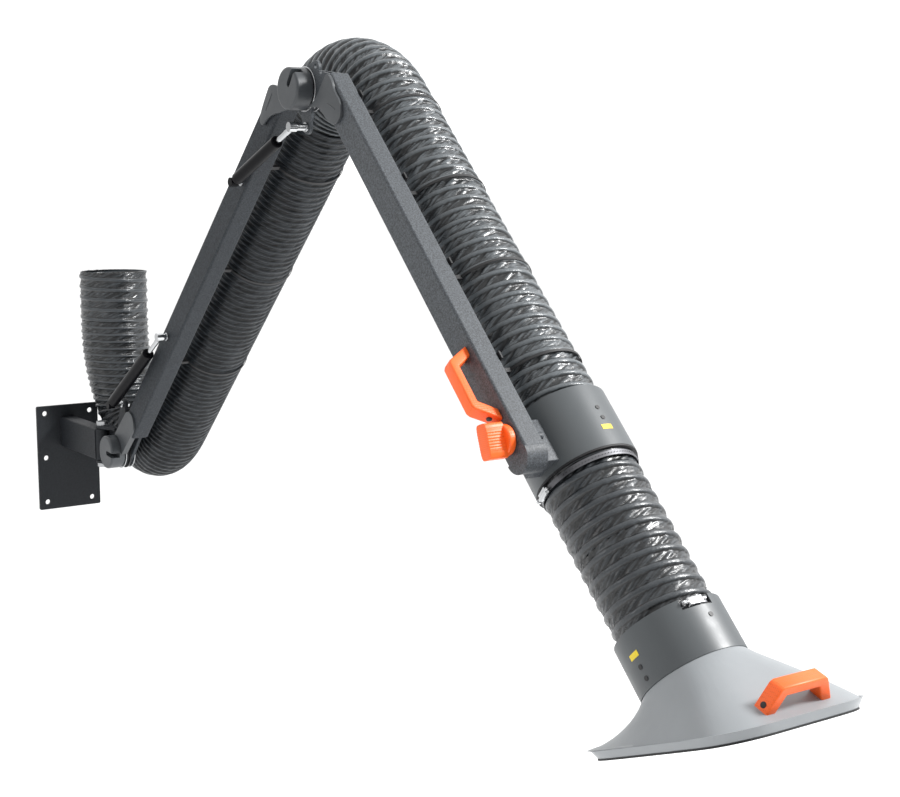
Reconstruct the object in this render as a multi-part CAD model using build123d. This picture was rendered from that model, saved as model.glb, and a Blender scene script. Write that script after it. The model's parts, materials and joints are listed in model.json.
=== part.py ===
from build123d import *
import os
from math import atan2, copysign, cos, degrees, hypot, pi, radians, sin, tan

# Wall-mounted fume extraction arm with a 160 mm hose, in millimetres.
# Row frame: origin at the centre of the wall plate's back face, +X away from the wall,
# +Y along the wall towards the hose, +Z up. Each arm is drawn in its own frame, with x
# along the arm, y across it and z square to both, and is then set at its rest angle.

os.makedirs("parts", exist_ok=True)

# ---------------------------------------------------------------- driving dimensions
HOSE_R = 83.0              # outside of a nominal 160 mm hose
HOSE_WALL = 3.0
HOSE_Y = 160.0             # the hose runs beside the beams
RUNNING = 0.3              # gap between faces that turn on each other

PLATE_Y, PLATE_Z, PLATE_T = 160.0, 264.0, 8.0
PLATE_CORNER_R = 4.0
BOLT_HALF_Y, BOLT_PITCH_Z, BOLT_R = 59.0, 113.0, 6.5
CONSOLE_Y, CONSOLE_Z, CONSOLE_WALL, CONSOLE_MID_Z = 40.0, 75.0, 3.0, 64.0
SLEW_X = 236.0             # vertical pivot of the console
BUSH_R, SLEW_BOLT_R = 18.0, 8.0
FORK_T, FORK_HALF_Y = 6.0, 17.0

SHOULDER = (314.0, 57.0)   # (X, Z) of the shoulder axle
ELBOW = (1230.0, 864.0)    # (X, Z) of the elbow axle
LOWER_RISE = 44.3          # degrees above the horizontal
UPPER_FALL = 45.6          # degrees below the horizontal

BEAM_Y0, BEAM_Y, BEAM_Z, BEAM_WALL, BEAM_CORNER_R = 1.0, 40.0, 58.0, 2.5, 5.0
LOWER_BEAM = (100.0, 1150.0, -8.4)     # start, end and centre height in the arm's frame
UPPER_BEAM = (60.0, 880.0, 66.0)
KNOB_X = 848.0                         # collar pivot, on the upper beam's centre line

CAP_R, CAP_Y0, CAP_Y1 = 39.0, -26.0, 10.0
WASHER_R, WASHER_T = 41.0, 2.0
AXLE_R = 8.0
LUG_R = 36.0

LOWER_HOSE_Z, UPPER_HOSE_Z = 44.4, 14.0       # hose centre height in each arm's frame
LOWER_HOSE = (20.0, 1073.0)
UPPER_HOSE = (54.0, 730.0)
ELBOW_BEND_R = 160.0
TAIL_XY, TAIL_Z0, TAIL_Z1 = (90.0, 100.0), 350.0, 470.0
SHIFT_Z0, SHIFT_Z1, SHIFT_R = 300.0, 205.0, 120.0     # the tail's sidestep to the arm's hose
UTURN_Z, UTURN_R = 45.0, 104.0
UTURN_SPLIT_X = 194.5

SPRING_Y = -17.0
LOWER_FOOT, LOWER_STUD = (337.0, 172.5), (625.0, 357.3)     # (X, Z) of the ball studs
UPPER_FOOT, UPPER_STUD = (994.0, 694.6), (1234.3, 795.2)

COLLAR = (785.0, 903.0)
COLLAR_R, COLLAR_WALL = 90.0, 3.0
TUCK = 45.0                            # how far the upper hose reaches into its collar
HOOD_COLLAR = (1181.0, 1272.0)
MOUTH_X, MOUTH_TILT = 1369.0, 22.8     # mouth centre along the arm, tilt of its plane
MOUTH_HALF_Z, MOUTH_HALF_Y = 170.0, 148.0
MOUTH_POWER = 5.0                      # superellipse power of its rounded corners
LIP, LIP_BEVEL, FUNNEL_WALL = 16.0, 9.0, 3.0
PITCH_X, ROLL_X = 960.0, 1108.0        # inner gimbal pivots

HANGERS_UPPER = (113.0, 314.0, 508.0, 708.0)
HANGERS_LOWER = (326.0, 640.0, 948.0)
BAND_W, BAND_R, BAND_T = 5.0, HOSE_R + 1.9, 1.2     # strap round the hose

# ---------------------------------------------------------------- frames
LOWER = Location((SHOULDER[0], 0, SHOULDER[1]), (0, -LOWER_RISE, 0))
UPPER = Location((ELBOW[0], 0, ELBOW[1]), (0, UPPER_FALL, 0))
HOSE_AXIS = UPPER * Location((0, HOSE_Y, UPPER_HOSE_Z))       # x runs down the hood end
MOUTH = HOSE_AXIS * Location((MOUTH_X, 0, 0), (0, MOUTH_TILT, 0))


def in_frame(frame, x, z):
    """Row (X, Z) of a point given in an arm's frame, or the reverse."""
    p = (frame * Location((x, 0, z))).position
    return (p.X, p.Z)


def to_frame(frame, point):
    p = (frame.inverse() * Location((point[0], 0, point[1]))).position
    return (p.X, p.Z)


# ---------------------------------------------------------------- small builders
def box(x0, x1, y0, y1, z0, z1):
    return Pos((x0 + x1) / 2, (y0 + y1) / 2, (z0 + z1) / 2) * Box(x1 - x0, y1 - y0, z1 - z0)


def rod_x(x0, x1, r, y=0.0, z=0.0):
    return Pos((x0 + x1) / 2, y, z) * Rot(0, 90, 0) * Cylinder(r, x1 - x0)


def rod_y(y0, y1, r, x=0.0, z=0.0):
    return Pos(x, (y0 + y1) / 2, z) * Rot(90, 0, 0) * Cylinder(r, y1 - y0)


def rod_z(z0, z1, r, x=0.0, y=0.0):
    return Pos(x, y, (z0 + z1) / 2) * Cylinder(r, z1 - z0)


def pipe_x(x0, x1, r, wall, y=0.0, z=0.0):
    return rod_x(x0, x1, r, y, z) - rod_x(x0, x1, r - wall, y, z)


def hex_y(y0, y1, flats, x=0.0, z=0.0):
    nut = extrude(RegularPolygon(flats / 2, 6, major_radius=False), y1 - y0)
    return Pos(x, y1, z) * Rot(90, 0, 0) * nut


def hex_z(z0, z1, flats, x=0.0, y=0.0):
    return Pos(x, y, z0) * extrude(RegularPolygon(flats / 2, 6, major_radius=False), z1 - z0)


def plate_y(y0, y1, outline):
    """A plate of an x-z outline, between two y values."""
    return extrude(Plane((0, y1, 0), x_dir=(1, 0, 0), z_dir=(0, -1, 0)) * outline, y1 - y0)


def strap(p, rp, q, rq):
    """The outline round two discs, as a bell-crank or a cover has it."""
    discs = Pos(*p) * Circle(rp), Pos(*q) * Circle(rq)
    return make_hull(discs[0].edges() + discs[1].edges())


def box_tube(x0, x1, z_mid):
    """A beam: rounded box tube beside the hub line."""
    section = RectangleRounded(BEAM_Y, BEAM_Z, BEAM_CORNER_R)
    inner = RectangleRounded(BEAM_Y - 2 * BEAM_WALL, BEAM_Z - 2 * BEAM_WALL,
                             BEAM_CORNER_R - BEAM_WALL)
    place = Plane((x0, BEAM_Y0 + BEAM_Y / 2, z_mid), x_dir=(0, 1, 0), z_dir=(1, 0, 0))
    return extrude(place * (section - inner), x1 - x0)


def beam_block(x0, x1, z_mid, gap=0.0):
    """The space a beam fills, or with a negative gap the plug inside it."""
    return box(x0, x1, BEAM_Y0 - gap, BEAM_Y0 + BEAM_Y + gap,
               z_mid - BEAM_Z / 2 - gap, z_mid + BEAM_Z / 2 + gap)


def tube_along(path, r, wall):
    """A hollow hose length swept along a line of straights and arcs."""
    start = path ^ 0
    outer = sweep(start * Circle(r), path=path)
    return outer - sweep(start * Circle(r - wall), path=path)


def group(parts):
    return Compound([solid for part in parts for solid in part.solids()])


nodes = {}


def keep(name, shape, frame=None):
    nodes[name] = shape if frame is None else frame * shape


# ---------------------------------------------------------------- wall console
def wall_plate():
    plate = extrude(Plane.YZ * RectangleRounded(PLATE_Y, PLATE_Z, PLATE_CORNER_R), PLATE_T)
    for y in (-BOLT_HALF_Y, BOLT_HALF_Y):
        for z in (-BOLT_PITCH_Z, 0, BOLT_PITCH_Z):
            plate -= rod_x(-1, PLATE_T + 1, BOLT_R, y, z)
    return plate


def console_tube():
    outer = RectangleRounded(CONSOLE_Y, CONSOLE_Z, 5)
    inner = RectangleRounded(CONSOLE_Y - 2 * CONSOLE_WALL, CONSOLE_Z - 2 * CONSOLE_WALL, 2)
    place = Plane((PLATE_T, 0, CONSOLE_MID_Z), x_dir=(0, 1, 0), z_dir=(1, 0, 0))
    tube = extrude(place * (outer - inner), SLEW_X - PLATE_T)
    return tube - rod_z(0, 2 * CONSOLE_Z, BUSH_R, SLEW_X)


console_low = CONSOLE_MID_Z - CONSOLE_Z / 2
console_high = CONSOLE_MID_Z + CONSOLE_Z / 2


def pivot_bush():
    return (rod_z(console_low, console_high, BUSH_R, SLEW_X)
            - rod_z(console_low, console_high, SLEW_BOLT_R + RUNNING, SLEW_X))


keep("wall_plate", wall_plate())
keep("console_tube", console_tube())
keep("pivot_bush", pivot_bush())

# ---------------------------------------------------------------- slew head
LUG_Y0 = CAP_Y1 + WASHER_T + RUNNING
LUG_T = 8.0
LUG_Y1 = LUG_Y0 + LUG_T
fork_top = console_high + 2
fork_low = console_low - 2


def slew_fork():
    """Top and bottom plates on the pivot, joined by the lug that carries the shoulder."""
    sx, sz = SHOULDER
    lug = strap((sx, sz), LUG_R, (LOWER_FOOT[0], LOWER_FOOT[1]), 13)
    back = Pos(sx - 38, (fork_top + fork_low) / 2) * Rectangle(48, fork_top - fork_low)
    body = plate_y(LUG_Y0, LUG_Y1, lug + back)
    for z0 in (fork_top, fork_low - FORK_T):
        eye = Pos(SLEW_X, 0) * Circle(FORK_HALF_Y)
        root = Pos(sx - 24, LUG_Y1 - 8) * Rectangle(20, 16)
        body += Pos(0, 0, z0) * extrude(make_hull(eye.edges() + root.edges()), FORK_T)
    body -= rod_y(CAP_Y0 - 1, LUG_Y0, WASHER_R + 1.5, sx, sz)
    body -= rod_z(fork_low - 20, fork_top + 20, SLEW_BOLT_R, SLEW_X)
    body -= rod_y(LUG_Y0 - 1, LUG_Y1 + 1, AXLE_R, sx, sz)
    body -= rod_y(LUG_Y0 - 1, LUG_Y1 + 1, 5, *LOWER_FOOT)
    return body


def slew_bolt():
    top = fork_top + FORK_T
    low = fork_low - FORK_T
    head = Pos(SLEW_X, 0, top + 2) * Cylinder(13, 2, align=(Align.CENTER, Align.CENTER, Align.MAX))
    bolt = rod_z(low, top, SLEW_BOLT_R, SLEW_X) + head + hex_z(top + 2, top + 10, 24, SLEW_X)
    return bolt + hex_z(low - 10, low, 24, SLEW_X)


def axle(y_end):
    """Cross axle: a shank from the cap to a nut behind the last plate."""
    shank = rod_y(CAP_Y1 - 16, y_end, AXLE_R)
    return shank + hex_y(y_end, y_end + 8, 24)


def hub_cap(slot_angle):
    """Thick round cover with a radial slot cut in from its rim."""
    cap = rod_y(CAP_Y0, CAP_Y1, CAP_R)
    rim = [e for e in cap.edges().filter_by(GeomType.CIRCLE) if abs(e.center().Y - CAP_Y0) < 1]
    cap = fillet(rim, 2.5)
    slot_w, slot_depth, slot_r0 = 9.0, 15.0, 6.0
    cut = box(slot_r0, CAP_R + 2, CAP_Y0 - 1, CAP_Y0 + slot_depth, -slot_w / 2, slot_w / 2)
    cut += rod_y(CAP_Y0 - 1, CAP_Y0 + slot_depth, slot_w / 2, slot_r0, 0)
    cap -= Rot(0, -slot_angle, 0) * cut
    return cap - rod_y(CAP_Y1 - 16, CAP_Y1, AXLE_R)


def washer(y0):
    return rod_y(y0, y0 + WASHER_T, WASHER_R) - rod_y(y0, y0 + WASHER_T, AXLE_R)


shoulder_at = Pos(SHOULDER[0], 0, SHOULDER[1])
KNUCKLE_T = 8.0
S_DISC = LUG_Y1 + RUNNING
S_KNUCKLE = S_DISC + WASHER_T
S_RING = S_KNUCKLE + KNUCKLE_T + RUNNING
keep("slew_fork", slew_fork())
keep("slew_bolt", slew_bolt())
keep("shoulder_axle", shoulder_at * axle(S_RING + WASHER_T))
keep("shoulder_hub_cap", shoulder_at * hub_cap(-4))
keep("shoulder_washers", shoulder_at * group([washer(CAP_Y1), washer(S_RING)]))

# ---------------------------------------------------------------- ball studs and gas springs
BALL_R = 6.0
SOCKET_R = 9.0


def ball_stud(x, z, y_root, y_tip):
    """A stud with a flange at its root and a ball at its tip."""
    stem = rod_y(y_tip, y_root, 4.5, x, z)
    flange = rod_y(y_root - 4, y_root, 8, x, z)
    return stem + flange + Pos(x, y_tip, z) * Sphere(BALL_R)


def plain_stud(x, z, y_root, y_tip):
    """The open pivot: a shouldered stud that ends just behind the rod's socket."""
    return rod_y(y_tip, y_root, 6.5, x, z) + rod_y(y_root - 4, y_root, 9, x, z)


def spring_frame(foot, stud):
    """x from the foot stud to the far stud, at rest."""
    rise = degrees(atan2(stud[1] - foot[1], stud[0] - foot[0]))
    return Location((foot[0], SPRING_Y, foot[1]), (0, -rise, 0))


def spring_cylinder(body_r, length):
    """Closed tube with its socket on the foot ball; bored for the rod."""
    start, guide = 16.0, 14.0
    tube = rod_x(start, start + length, body_r)
    ends = tube.edges().filter_by(GeomType.CIRCLE)
    tube = fillet(ends, 3)
    tube -= rod_x(start + 12, start + length - guide, body_r - 2)
    tube -= rod_x(start + length - guide - 1, start + length + 1, ROD_R + RUNNING)
    socket = rod_y(-9, 7, SOCKET_R) + rod_x(0, start, 6)
    socket -= Sphere(BALL_R + 0.2)
    socket -= rod_y(0, 9, 5)
    return tube + socket


ROD_R = 5.0


def spring_rod(length, start):
    """Chrome rod with a piston inside the tube and a socket at the far stud."""
    rod = rod_x(start, length - 6, ROD_R) + rod_x(start - 4, start, 8.5)
    socket = rod_y(-9, 6, SOCKET_R, length) + rod_x(length - 26, length - 5, 5.5)
    return rod + socket


def spring_length(foot, stud):
    return hypot(stud[0] - foot[0], stud[1] - foot[1])


lower_spring = spring_frame(LOWER_FOOT, LOWER_STUD)
upper_spring = spring_frame(UPPER_FOOT, UPPER_STUD)
LOWER_BODY, UPPER_BODY = 250.0, 180.0
keep("lower_spring_foot_stud", ball_stud(*LOWER_FOOT, LUG_Y0, SPRING_Y)
     + rod_y(LUG_Y0, LUG_Y1 + 6, 5, *LOWER_FOOT) + hex_y(LUG_Y1, LUG_Y1 + 6, 14, *LOWER_FOOT))
keep("lower_spring_cylinder", spring_cylinder(13, LOWER_BODY), lower_spring)
keep("lower_spring_rod",
     spring_rod(spring_length(LOWER_FOOT, LOWER_STUD), LOWER_BODY - 110), lower_spring)
keep("upper_spring_cylinder", spring_cylinder(12, UPPER_BODY), upper_spring)
keep("upper_spring_rod",
     spring_rod(spring_length(UPPER_FOOT, UPPER_STUD), UPPER_BODY - 90), upper_spring)

# ---------------------------------------------------------------- lower arm
PLUG = (BEAM_Y0 + BEAM_WALL, BEAM_Y0 + BEAM_Y - BEAM_WALL)
elbow_low = to_frame(LOWER, ELBOW)
LEVER_Y0, LEVER_T = LUG_Y0, 6.0
E_DISC = LEVER_Y0 + LEVER_T + RUNNING
E_YOKE = E_DISC + WASHER_T
E_DISC2 = E_YOKE + 7
E_KNUCKLE = E_DISC2 + WASHER_T + RUNNING


def plug_block(x0, x1, z_mid, y0=PLUG[0]):
    h = BEAM_Z / 2 - BEAM_WALL
    block = box(x0, x1, y0, PLUG[1], z_mid - h, z_mid + h)
    return fillet(block.edges().filter_by(Axis.X), BEAM_CORNER_R - BEAM_WALL)


def knuckle(x0, x1, z_mid, pivot, y0, t, plug_y0=PLUG[0]):
    """Plug inside a beam's end with a plate that reaches the axle."""
    body = plug_block(x0, x1, z_mid, plug_y0)
    reach = x1 if abs(pivot[0] - x1) < abs(pivot[0] - x0) else x0
    outline = strap(pivot, LUG_R, (reach, z_mid), 22)
    plate = plate_y(y0, y0 + t, outline)
    plate -= beam_block(min(LOWER_BEAM[0], x0), max(x1, x0), z_mid)
    body += plate
    return body - rod_y(y0 - 1, y0 + t + 1, AXLE_R + 0.05, *pivot)


def cover(pivot, lobe, lobe_r, beam):
    """Moulded cover: a lobe on the beam's side, hollowed round the hub."""
    y0, y1, hub_gap = -3.0, CAP_Y1 + 1, 3.5
    shape = plate_y(y0, y1, strap(pivot, LUG_R - 6, lobe, lobe_r))
    shape -= rod_y(y0 - 1, y1 + 1, CAP_R + hub_gap, *pivot)
    return shape - beam_block(*beam)


def hangers(places, beam_mid, hose_z):
    """Bands round the hose, each with an arm to the beam's far face."""
    far = BEAM_Y0 + BEAM_Y
    out = []
    for x in places:
        band = pipe_x(x - BAND_W / 2, x + BAND_W / 2, BAND_R, BAND_T, HOSE_Y, hose_z)
        foot = box(x - 7, x + 7, far, far + 3, beam_mid - 22, beam_mid + BEAM_Z / 2 + 4)
        arm_z = beam_mid + copysign(14, hose_z - beam_mid)
        arm = box(x - 4, x + 4, far, HOSE_Y, arm_z - 3, arm_z + 3)
        arm -= rod_x(x - 5, x + 5, BAND_R - BAND_T / 2, HOSE_Y, hose_z)
        out.append(band + (foot + arm))
    return group(out)


keep("lower_beam", box_tube(*LOWER_BEAM), LOWER)
keep("shoulder_knuckle",
     knuckle(LOWER_BEAM[0], LOWER_BEAM[0] + 45, LOWER_BEAM[2], (0, 0), S_KNUCKLE, KNUCKLE_T), LOWER)
keep("elbow_yoke", knuckle(LOWER_BEAM[1] - 45, LOWER_BEAM[1], LOWER_BEAM[2], elbow_low,
                           E_YOKE, 7), LOWER)
keep("shoulder_cover", cover((0, 0), (118, -6), 28, LOWER_BEAM), LOWER)
keep("lower_elbow_cover",
     cover(elbow_low, (LOWER_BEAM[1] - 38, LOWER_BEAM[2] + 1), 30, LOWER_BEAM), LOWER)
keep("shoulder_disc", shoulder_at * washer(S_DISC))
elbow_at = Pos(ELBOW[0], 0, ELBOW[1])
keep("elbow_axle", elbow_at * axle(E_KNUCKLE + KNUCKLE_T + RUNNING))
keep("elbow_hub_cap", elbow_at * hub_cap(82))
keep("elbow_washers", elbow_at * group([washer(CAP_Y1), washer(E_DISC), washer(E_DISC2)]))
arm_stud = plain_stud(*LOWER_STUD, BEAM_Y0, SPRING_Y + 6 + RUNNING)
foot_stud = ball_stud(*UPPER_FOOT, BEAM_Y0, SPRING_Y)
keep("lower_beam_studs", group([arm_stud, foot_stud]))
keep("lower_hose_hangers", hangers(HANGERS_LOWER, LOWER_BEAM[2], LOWER_HOSE_Z), LOWER)
keep("lower_hose", pipe_x(*LOWER_HOSE, HOSE_R, HOSE_WALL, HOSE_Y, LOWER_HOSE_Z), LOWER)

# ---------------------------------------------------------------- upper arm
lever_stud = to_frame(UPPER, UPPER_STUD)


def lever_plate():
    """Bell crank: hub eye, a lobe bolted in the beam's end, a leg to the spring."""
    outline = strap((0, 0), LUG_R + 4, (50, 66), 14) + strap((0, 0), LUG_R + 2, (0, 54), 12)
    outline += strap((0, 0), 28, lever_stud, 13)
    plate = plate_y(LEVER_Y0, LEVER_Y0 + LEVER_T, outline)
    plate += box(50, 90, LEVER_Y0, LEVER_Y0 + LEVER_T, 44, 88)
    plate -= rod_y(LEVER_Y0 - 1, LEVER_Y0 + 7, AXLE_R + 0.05)
    for x, z in ((-1, 55), (20, 61)):
        plate -= rod_y(LEVER_Y0 - 1, LEVER_Y0 + 7, 4.5, x, z)
    return plate - rod_y(LEVER_Y0 - 1, LEVER_Y0 + 7, 4.5, *lever_stud)


def beam_nose():
    """Rounded casting that closes the beam's end and carries the knob's bolt."""
    end, mid = UPPER_BEAM[1], UPPER_BEAM[2]
    h = BEAM_Z / 2
    nose = box(end, end + 1, BEAM_Y0, BEAM_Y0 + BEAM_Y, mid - h, mid + h)
    nose += rod_y(BEAM_Y0, BEAM_Y0 + BEAM_Y, h, end, mid) & box(
        end, end + h, BEAM_Y0, BEAM_Y0 + BEAM_Y, mid - h, mid + h)
    nose += plug_block(KNOB_X - 30, end, mid)
    return nose - rod_y(BEAM_Y0 - 1, BEAM_Y0 + BEAM_Y + 1, 6.5, KNOB_X, mid)


def upper_beam():
    tube = box_tube(*UPPER_BEAM)
    return tube - rod_y(BEAM_Y0 - 1, BEAM_Y0 + BEAM_Y + 1, 6.5, KNOB_X, UPPER_BEAM[2])


def bow_handle(span, height, width, thick):
    """A moulded D handle: two splayed feet and a flat bar, standing on y = 0 towards -y."""
    half = span / 2
    splay = 0.18 * span
    outer = Polyline((-half, 0), (-half + splay, -height), (half - splay, -height), (half, 0))
    inner = Polyline((half - 1.3 * thick, 0), (half - splay - 0.7 * thick, -height + thick),
                     (-half + splay + 0.7 * thick, -height + thick), (-half + 1.3 * thick, 0))
    ring = make_face(Wire([*outer.edges(), Line(outer @ 1, inner @ 0), *inner.edges(),
                           Line(inner @ 1, outer @ 0)]))
    bar = Pos(0, 0, -width / 2) * extrude(ring, width)
    for x in (-half + 0.62 * thick, half - 0.62 * thick):
        bar -= Pos(x, 0, 0) * Rot(90, 0, 0) * Cylinder(2.6, 60)
    return bar


HANDLE_X, HANDLE_Z = 745.0, 69.0
ARM_HANDLE = (146.0, 45.0, 24.0, 15.0)       # span, height, width, thickness
HOOD_HANDLE = (140.0, 50.0, 26.0, 15.0)
HOOD_HANDLE_AT, HANDLE_SINK = 138.0, 14.0     # down the slope from the collar, let into it

keep("upper_beam", upper_beam(), UPPER)
keep("elbow_knuckle", knuckle(UPPER_BEAM[0], UPPER_BEAM[0] + 45, UPPER_BEAM[2], (0, 0),
                              E_KNUCKLE, KNUCKLE_T, LEVER_Y0 + LEVER_T + 0.5), UPPER)
keep("lever_plate", lever_plate(), UPPER)
keep("lever_stud", plain_stud(*UPPER_STUD, LEVER_Y0, SPRING_Y + 6 + RUNNING)
     + rod_y(LEVER_Y0, LEVER_Y0 + LEVER_T + 5, 4.5, *UPPER_STUD))
keep("upper_elbow_cover", cover((0, 0), (108, 70), 26, UPPER_BEAM), UPPER)
keep("beam_nose", beam_nose(), UPPER)
keep("arm_handle", Pos(HANDLE_X, BEAM_Y0, HANDLE_Z) * bow_handle(*ARM_HANDLE), UPPER)
keep("upper_hose_hangers", hangers(HANGERS_UPPER, UPPER_BEAM[2], UPPER_HOSE_Z), UPPER)
keep("upper_hose", pipe_x(*UPPER_HOSE, HOSE_R, HOSE_WALL, HOSE_Y, UPPER_HOSE_Z), UPPER)

# ---------------------------------------------------------------- collar and knob
knob_z = UPPER_BEAM[2]
far_face = BEAM_Y0 + BEAM_Y


def upper_collar():
    collar = pipe_x(*COLLAR, COLLAR_R, COLLAR_WALL, HOSE_Y, UPPER_HOSE_Z)
    return collar - radial_screws(COLLAR_SCREWS, COLLAR_R)


def collar_bracket():
    """Saddle between the beam's far face and the collar, with a round pivot boss."""
    block = box(KNOB_X - 38, COLLAR[1] - 4, far_face + RUNNING, HOSE_Y, knob_z - 46, knob_z + 20)
    block += rod_y(far_face + RUNNING, HOSE_Y / 2, BEAM_Z / 2, KNOB_X, knob_z)
    block -= rod_x(0, 1200, COLLAR_R, HOSE_Y, UPPER_HOSE_Z)
    block &= box(0, 1200, 0, HOSE_Y - 50, -200, 300)
    return block - rod_y(0, HOSE_Y, 6, KNOB_X, knob_z)


def pivot_bolt():
    return rod_y(-22, far_face + 26, 6, KNOB_X, knob_z)


def friction_knob():
    """Wing knob: a round skirt and a raised bar across it."""
    skirt = rod_y(-13, BEAM_Y0 - RUNNING, 25)
    wing = box(-27, 27, -44, -12, -11, 11)
    wing = fillet(wing.edges().filter_by(Axis.Z), 4)
    body = skirt + wing
    return Pos(KNOB_X, 0, knob_z) * (Rot(0, 25, 0) * (body - rod_y(-23, 10, 6 + RUNNING)))


def collar_trim():
    return pipe_x(COLLAR[1], COLLAR[1] + 3, COLLAR_R - 0.5, 6.0, HOSE_Y, UPPER_HOSE_Z)


def ring_clamp(x, turn):
    """Worm-drive hose clamp: a band and its screw housing."""
    band = pipe_x(x - 5, x + 5, HOSE_R + 1.4, 1.2)
    housing = box(x - 7, x + 7, -16, 16, HOSE_R + 1, HOSE_R + 8)
    screw = rod_y(-24, -16, 4, x, HOSE_R + 5)
    return Pos(0, HOSE_Y, UPPER_HOSE_Z) * Rot(turn, 0, 0) * (band + housing + screw)


# (distance along the arm, angle round the collar) of each countersunk screw
COLLAR_SCREWS = ((831, -5), (851, -5), (831, 175), (851, 175))
HOOD_SCREWS = ((1238, 88), (1257, 88), (1216, -3), (1216, 177))
NOTCH_ANGLE, NOTCH_HALF, NOTCH_DEPTH = 5.0, 28.0, 17.0


def radial_screws(x_angle_pairs, r):
    """Countersunk screw heads let into a collar's skin."""
    out = []
    for x, angle in x_angle_pairs:
        screw = rod_z(r - COLLAR_WALL, r, 2.0, x)
        head = rod_z(r - 0.5, r + 1.0, 4.0, x)
        out.append(Pos(0, HOSE_Y, UPPER_HOSE_Z) * Rot(angle, 0, 0) * (screw + head))
    return group(out)


def spider(x, eye_x, along_y):
    """Cross strip on the duct axis with a rod that ends in an eye, toward the pivot."""
    toward = copysign(1, eye_x - x)
    inner_r = HOSE_R - HOSE_WALL - 1
    cross = box(x - 2, x + 2, -inner_r, inner_r, -9, 9)
    cross += box(x - 2, x + 2, -9, 9, -inner_r, inner_r)
    cross &= rod_x(x - 3, x + 3, inner_r)
    ends = sorted((x, eye_x - toward * 15))
    neck = sorted((eye_x, eye_x - toward * 17))
    body = cross + rod_x(*ends, 6)
    if along_y:
        body += box(*neck, -4, 4, -6, 6) + rod_y(-4, 4, 13, eye_x, 0)
        body -= rod_y(-5, 5, 4.05, eye_x, 0)
    else:
        body += box(*neck, -6, 6, -4, 4) + rod_z(-4, 4, 13, eye_x, 0)
        body -= rod_z(-5, 5, 4.05, eye_x, 0)
    return Pos(0, HOSE_Y, UPPER_HOSE_Z) * body


def gimbal_link():
    cheek_in, cheek_out, cheek_r = 4 + RUNNING, 9.0, 13.0
    body = rod_x(PITCH_X + 20, ROLL_X - 20, 6)
    for s in (1, -1):
        low, high = sorted((s * cheek_in, s * cheek_out))
        body += rod_y(low, high, cheek_r, PITCH_X, 0) + box(
            PITCH_X, PITCH_X + 24, low, high, -cheek_r, cheek_r)
        body += rod_z(low, high, cheek_r, ROLL_X, 0) + box(
            ROLL_X - 24, ROLL_X, -cheek_r, cheek_r, low, high)
    body += box(PITCH_X + 16, PITCH_X + 24, -9, 9, -cheek_r, cheek_r)
    body += box(ROLL_X - 24, ROLL_X - 16, -cheek_r, cheek_r, -9, 9)
    body -= rod_y(-12, 12, 4, PITCH_X, 0)
    body -= rod_z(-12, 12, 4, ROLL_X, 0)
    return Pos(0, HOSE_Y, UPPER_HOSE_Z) * body


def gimbal_bolts():
    pitch = rod_y(-9, 9, 4, PITCH_X, 0) + hex_y(9, 15, 13, PITCH_X, 0) + hex_y(-14, -9, 13, PITCH_X, 0)
    roll = rod_z(-9, 9, 4, ROLL_X, 0) + hex_z(9, 15, 13, ROLL_X) + hex_z(-14, -9, 13, ROLL_X)
    return Pos(0, HOSE_Y, UPPER_HOSE_Z) * group([pitch, roll])


collar_inner = COLLAR_R - COLLAR_WALL
keep("upper_collar", upper_collar(), UPPER)
keep("collar_bracket", collar_bracket(), UPPER)
keep("collar_pivot_bolt", pivot_bolt(), UPPER)
keep("collar_edge_trim", collar_trim(), UPPER)
keep("collar_screws", radial_screws(COLLAR_SCREWS, COLLAR_R), UPPER)
keep("collar_clamp", ring_clamp(COLLAR[1] + 13, 100), UPPER)
keep("collar_spider", spider(870, PITCH_X, True), UPPER)
keep("friction_knob", friction_knob(), UPPER)
keep("gimbal_link", gimbal_link(), UPPER)
keep("gimbal_bolts", gimbal_bolts(), UPPER)

# ---------------------------------------------------------------- hood neck and hood
def hood_collar():
    """Collar with a notch in its upper edge, where the clamp's screw sits."""
    collar = pipe_x(*HOOD_COLLAR, COLLAR_R, COLLAR_WALL)
    notch = box(HOOD_COLLAR[0] - 1, HOOD_COLLAR[0] + NOTCH_DEPTH, -NOTCH_HALF, NOTCH_HALF,
                COLLAR_R / 2, COLLAR_R + 5)
    notched = Pos(0, HOSE_Y, UPPER_HOSE_Z) * (collar - Rot(NOTCH_ANGLE, 0, 0) * notch)
    return notched - radial_screws(HOOD_SCREWS, COLLAR_R)


def ring_points(half_y, half_z, power, count=24):
    """Points of a superellipse, which passes from a circle to a rounded rectangle."""
    out = []
    for k in range(count):
        a = 2 * pi * k / count
        c, s = cos(a), sin(a)
        r = (abs(c / half_y) ** power + abs(s / half_z) ** power) ** (-1 / power)
        out.append((r * c, r * s))
    return out


def section(x, tilt, half_y, half_z, power):
    """A funnel section across the hose axis, tilted about y."""
    place = Plane(Location((x, 0, 0), (0, tilt, 0)) * Location((0, 0, 0), (0, 90, 0)))
    wire = Spline(*[(-q, p) for p, q in ring_points(half_y, half_z, power)], periodic=True)
    return place * make_face(wire)


lip_back = MOUTH_X - LIP / cos(radians(MOUTH_TILT))
funnel_top = HOOD_COLLAR[1] + RUNNING       # the hood turns on its collar


def funnel_solid(inset):
    """Loft from the collar's circle to the slanted mouth, smaller by an inset."""
    faces = []
    steps = 5
    for k in range(steps + 1):
        t = k / steps
        flare = t ** 1.35
        x = funnel_top + (lip_back - funnel_top) * t
        half_y = COLLAR_R - 1 + (MOUTH_HALF_Y + LIP_BEVEL - COLLAR_R) * flare - inset
        half_z = COLLAR_R - 1 + (MOUTH_HALF_Z + LIP_BEVEL - COLLAR_R) * flare - inset
        faces.append(section(x, MOUTH_TILT * t, half_y, half_z, 2 + (MOUTH_POWER - 2) * t))
    return loft(faces)


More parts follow.
